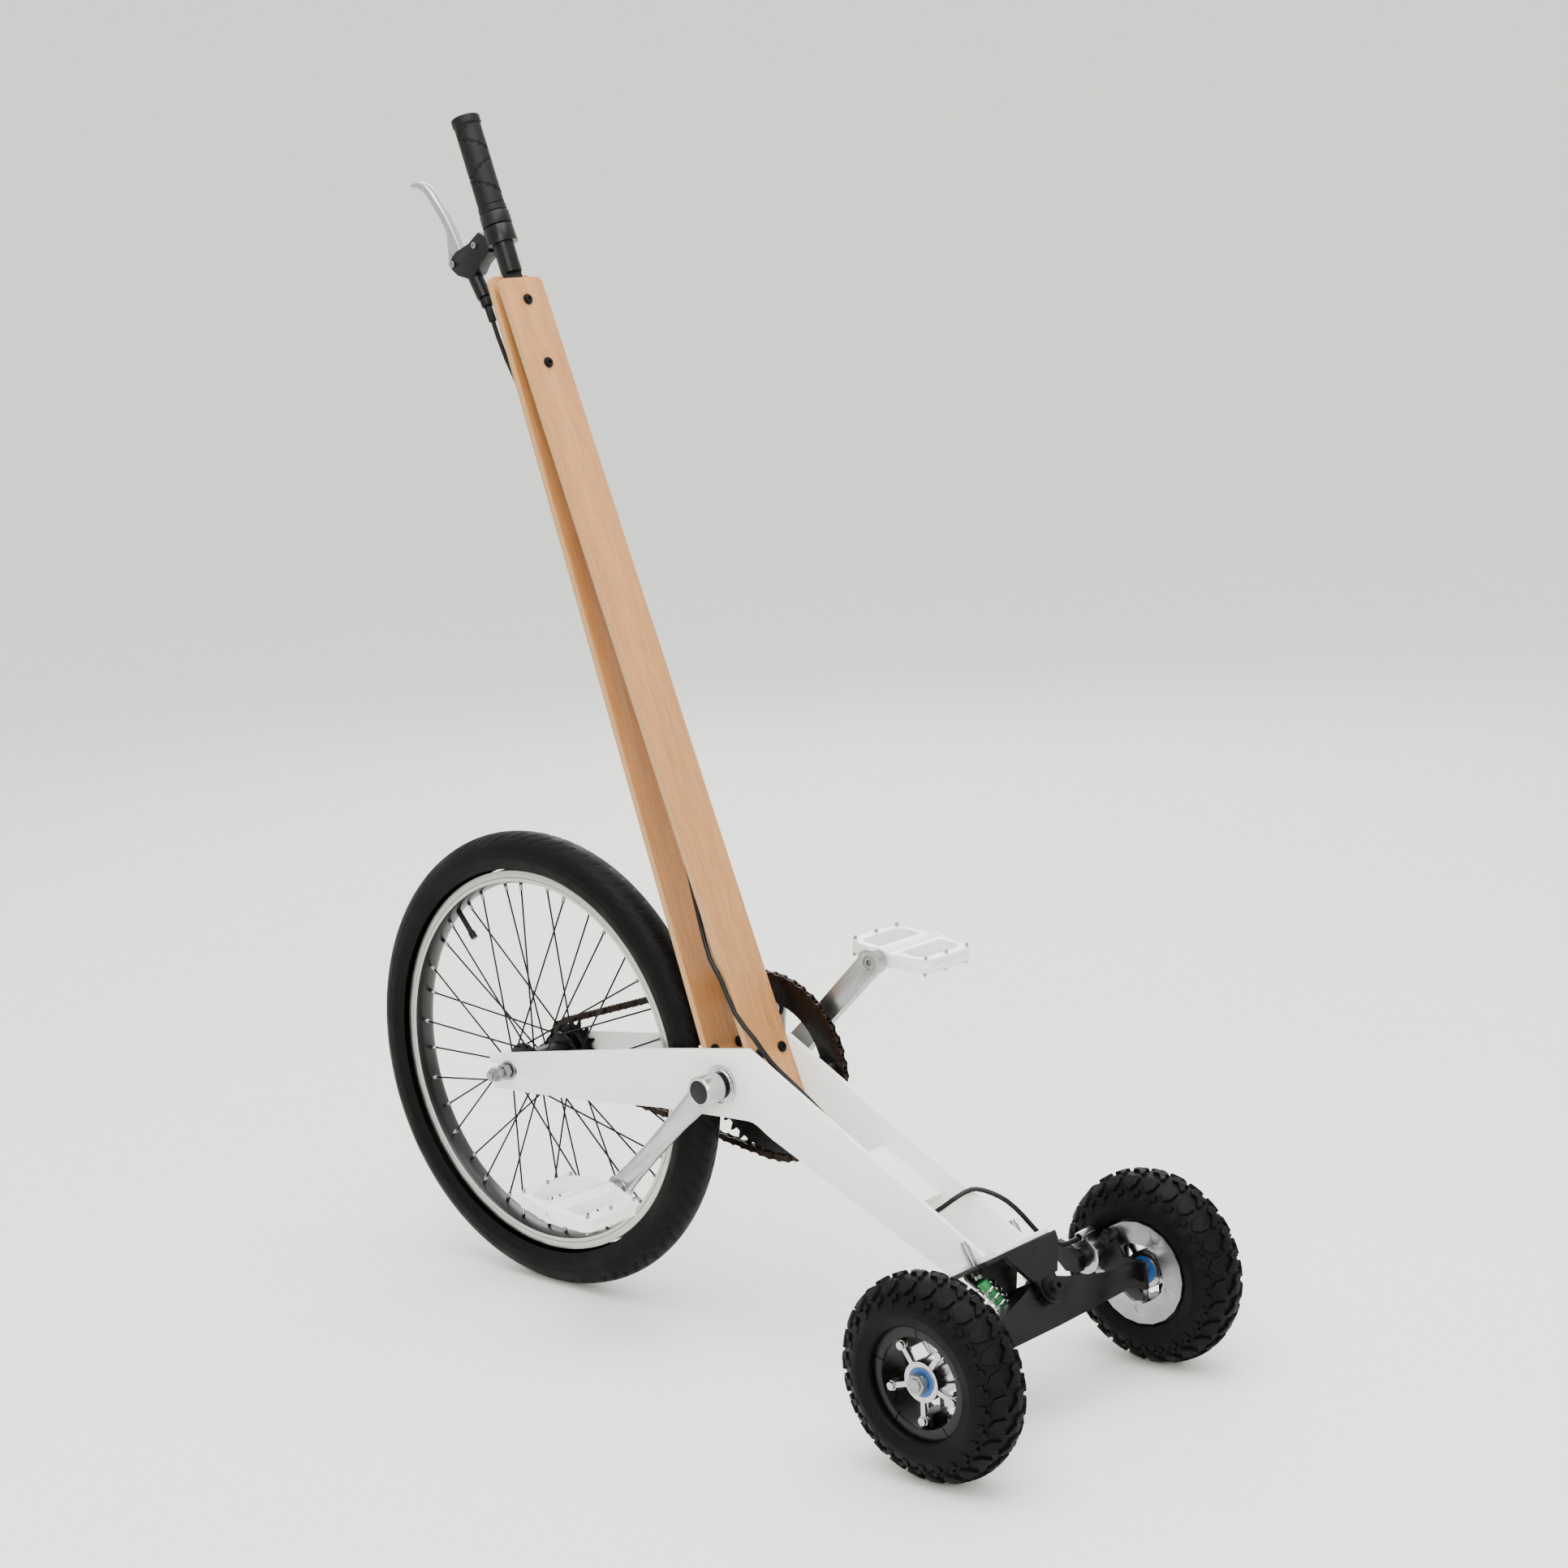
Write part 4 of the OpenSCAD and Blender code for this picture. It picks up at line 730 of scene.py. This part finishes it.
def barrel(centre, radius, y_low, y_high, corners, faces, sides=12):
    """Adds a short round bar across the chain, with a small chamfer at each end."""
    base, edge = len(corners), 0.2 * radius
    levels = ((radius - edge, y_low), (radius, y_low + edge),
              (radius, y_high - edge), (radius - edge, y_high))
    for r, y in levels:
        for j in range(sides):
            a = math.tau * j / sides
            corners.append((centre.x + r * math.cos(a), chain_y + y, centre.y + r * math.sin(a)))
    for level in range(len(levels) - 1):
        for j in range(sides):
            k = (j + 1) % sides
            low = base + level * sides
            faces.append((low + j, low + k, low + sides + k, low + sides + j))
    faces.append(tuple(base + j for j in reversed(range(sides))))
    faces.append(tuple(base + (len(levels) - 1) * sides + j for j in range(sides)))


corners, faces = [], []
for i, place in enumerate(pin_places):
    following = pin_places[(i + 1) % len(pin_places)]
    outside_y = OUTER_Y if i % 2 else OUTER_Y - PLATE_T - 0.05 * MM
    for side in (-1, 1):
        low, high = sorted((side * outside_y, side * (outside_y - PLATE_T)))
        link_plate(place, following, low, high, corners, faces)
    barrel(place, ROLLER_R, -1.3 * MM, 1.3 * MM, corners, faces)
    barrel(place, 1.8 * MM, -OUTER_Y - 0.5 * MM, OUTER_Y + 0.5 * MM, corners, faces)
links = make_piece("chain_links", corners, faces, oiled_chain, "frame", smooth=False)
tidy_normals(links)
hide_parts("chain")
print("chain", len(faces), "faces")


# %% [markdown]
# ## The left crank
# The crank is cold forged and polished. A forging has no flat faces or sharp corners: its arm is narrow at
# the middle, swells into the eye that holds the pedal, and steps out from the frame along its length. So
# the arm is lofted: a rounded section is placed at stations along it, each with its own width, thickness
# and place across, and the skin runs smoothly through them. The boss on the spindle and the eye are turned
# rings.

# %% Crank arm, boss and eye
CRANK_LEN = 170 * MM
CRANK_DROP = math.radians(45)
along_crank = Vector((math.cos(CRANK_DROP), 0, -math.sin(CRANK_DROP)))
across_crank = Vector((math.sin(CRANK_DROP), 0, math.cos(CRANK_DROP)))
crank_low, crank_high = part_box("crank_left")
boss_in, eye_out = crank_low[1], crank_high[1]
EYE_W = 12.5                   # the crank's own sizes are in millimetres
# distance along the crank, half width, middle measured out from the boss's inner face, half thickness
STATIONS = ((3, 13.0, 12.5, 8.0), (24, 12.6, 13.5, 7.4), (60, 10.6, 16.5, 6.6), (105, 9.8, 19.6, 6.2),
            (142, 10.6, 22.4, 6.2), (162, 12.0, 23.7, 6.2))


def crank_section(x):
    """Half width, middle and half thickness at a distance along the crank, eased between the stations."""
    for here, there in zip(STATIONS, STATIONS[1:]):
        if x <= there[0]:
            t = (x - here[0]) / (there[0] - here[0])
            t = t * t * (3 - 2 * t) * 0.5 + t * 0.5
            return [a + (b - a) * t for a, b in zip(here[1:], there[1:])]
    return STATIONS[-1][1:]


SECTION_STEPS = 32
CREASE_ANGLE = 34
corners, faces = [], []
LENGTHS = list(range(STATIONS[0][0], STATIONS[-1][0] + 1, 3))
for x in LENGTHS:
    width, middle, thick = crank_section(x)
    for j in range(SECTION_STEPS):
        a = math.tau * j / SECTION_STEPS
        c, q = math.cos(a), math.sin(a)
        # a squared circle: flatter than an ellipse, with round corners
        u = math.copysign(abs(c) ** 0.62, c) * width
        v = math.copysign(abs(q) ** 0.72, q) * thick
        place = crank_axis + along_crank * x * MM + across_crank * u * MM
        corners.append((place.x, boss_in + (middle + v) * MM, place.z))
for i in range(len(LENGTHS) - 1):
    for j in range(SECTION_STEPS):
        k = (j + 1) % SECTION_STEPS
        row = i * SECTION_STEPS
        faces.append((row + j, row + k, row + SECTION_STEPS + k, row + SECTION_STEPS + j))
faces.append(tuple(range(SECTION_STEPS)))
faces.append(tuple(range(len(corners) - SECTION_STEPS, len(corners))))


def add_ring(profile, centre, corners, faces, steps=64):
    """Adds a ring, given as (radius, across) in metres, turned about an axle along Y."""
    more_corners, more_faces = turned(profile, centre, steps)
    base = len(corners)
    corners.extend(more_corners)
    faces.extend(tuple(base + i for i in face) for face in more_faces)


boss = [(8.6, 0), (14.6, 0), (15.5, 0.9), (15.5, 22.6), (14.2, 24), (12.2, 24), (11.8, 23.4), (11.8, 18),
        (8.6, 18)]
add_ring([(r * MM, y * MM) for r, y in boss], (crank_axis.x, boss_in, crank_axis.z), corners, faces)
eye_at = crank_axis + along_crank * CRANK_LEN
eye = [(7.05, 0), (12.4, 0), (13.5, 1.1), (13.5, EYE_W - 1.1), (12.4, EYE_W), (7.05, EYE_W)]
add_ring([(r * MM, y * MM) for r, y in eye], (eye_at.x, eye_out - EYE_W * MM, eye_at.z), corners, faces)
crank_piece = make_piece("forged_crank_left", corners, faces, polished_alloy, "crankset")
tidy_normals(crank_piece)
crease = crank_piece.modifiers.new("keep_edges_crisp", "EDGE_SPLIT")
crease.split_angle = math.radians(CREASE_ANGLE)
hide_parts("crank_left")
print("crank", len(faces), "faces")


# %% [markdown]
# ## Floor and light
# The trike stands in a photographer's cove: a plain pale floor that curves up into a plain wall all round,
# so no line shows where one becomes the other. The sky of the cove gives most of the light. One large soft
# light overhead and two wide ones at the sides leave only soft shadows under the wheels.

# %% Floor
studio_paint, tree, shader = begin("studio_cove_paint", 0.0, 0.85, Specular_IOR_Level=0.2)
mottle(tree, shader, "#E9EAE5", "#E7E8E3", 400, 4, 4)
COVE_FLAT = 8.0                # radius of the flat floor, in metres
COVE_BEND = 6.0                # radius of the bend and height of the wall
rim = [(r, 0.0) for r in (0.0, 2.0, 4.0, 6.0, COVE_FLAT)]
rim += [(COVE_FLAT + COVE_BEND * math.sin(math.radians(a)), COVE_BEND * (1 - math.cos(math.radians(a))))
        for a in range(6, 91, 6)]
corners = [(0.0, 0.0, 0.0)]
faces = []
AROUND = 96
for r, height in rim[1:]:
    corners += [(r * math.cos(math.tau * j / AROUND), r * math.sin(math.tau * j / AROUND), height)
                for j in range(AROUND)]
for j in range(AROUND):
    faces.append((0, 1 + j, 1 + (j + 1) % AROUND))
for i in range(len(rim) - 2):
    for j in range(AROUND):
        k = (j + 1) % AROUND
        inner, outer = 1 + i * AROUND, 1 + (i + 1) * AROUND
        faces.append((inner + j, outer + j, outer + k, inner + k))
mesh = bpy.data.meshes.new("floor")
mesh.from_pydata(corners, [], faces)
mesh.polygons.foreach_set("use_smooth", [True] * len(mesh.polygons))
mesh.materials.append(studio_paint)
floor = bpy.data.objects.new("floor", mesh)
bpy.context.scene.collection.objects.link(floor)
print("cove", len(faces), "faces")

# %% Lights
SKY_STRENGTH = 1.75
world = bpy.data.worlds.new("studio")
bpy.context.scene.world = world
world.use_nodes = True
world.node_tree.nodes["Background"].inputs["Color"].default_value = linear("#FBFBF9")
world.node_tree.nodes["Background"].inputs["Strength"].default_value = SKY_STRENGTH


def softbox(name, place, target, size, power):
    """A square area light that looks at a point."""
    light = bpy.data.objects.new(name, bpy.data.lights.new(name, "AREA"))
    light.data.size = size
    light.data.energy = power
    light.location = place
    light.rotation_euler = (Vector(target) - Vector(place)).to_track_quat("-Z", "Y").to_euler()
    bpy.context.scene.collection.objects.link(light)
    return light


softbox("top_light", (-0.6, 0.4, 3.2), (0, 0, 0.3), 3.0, 165)
softbox("left_light", (-2.6, 3.0, 2.2), (0, 0, 0.5), 2.0, 85)
softbox("back_light", (2.2, -2.8, 2.4), (0, 0, 0.5), 2.0, 60)
print("studio ready")
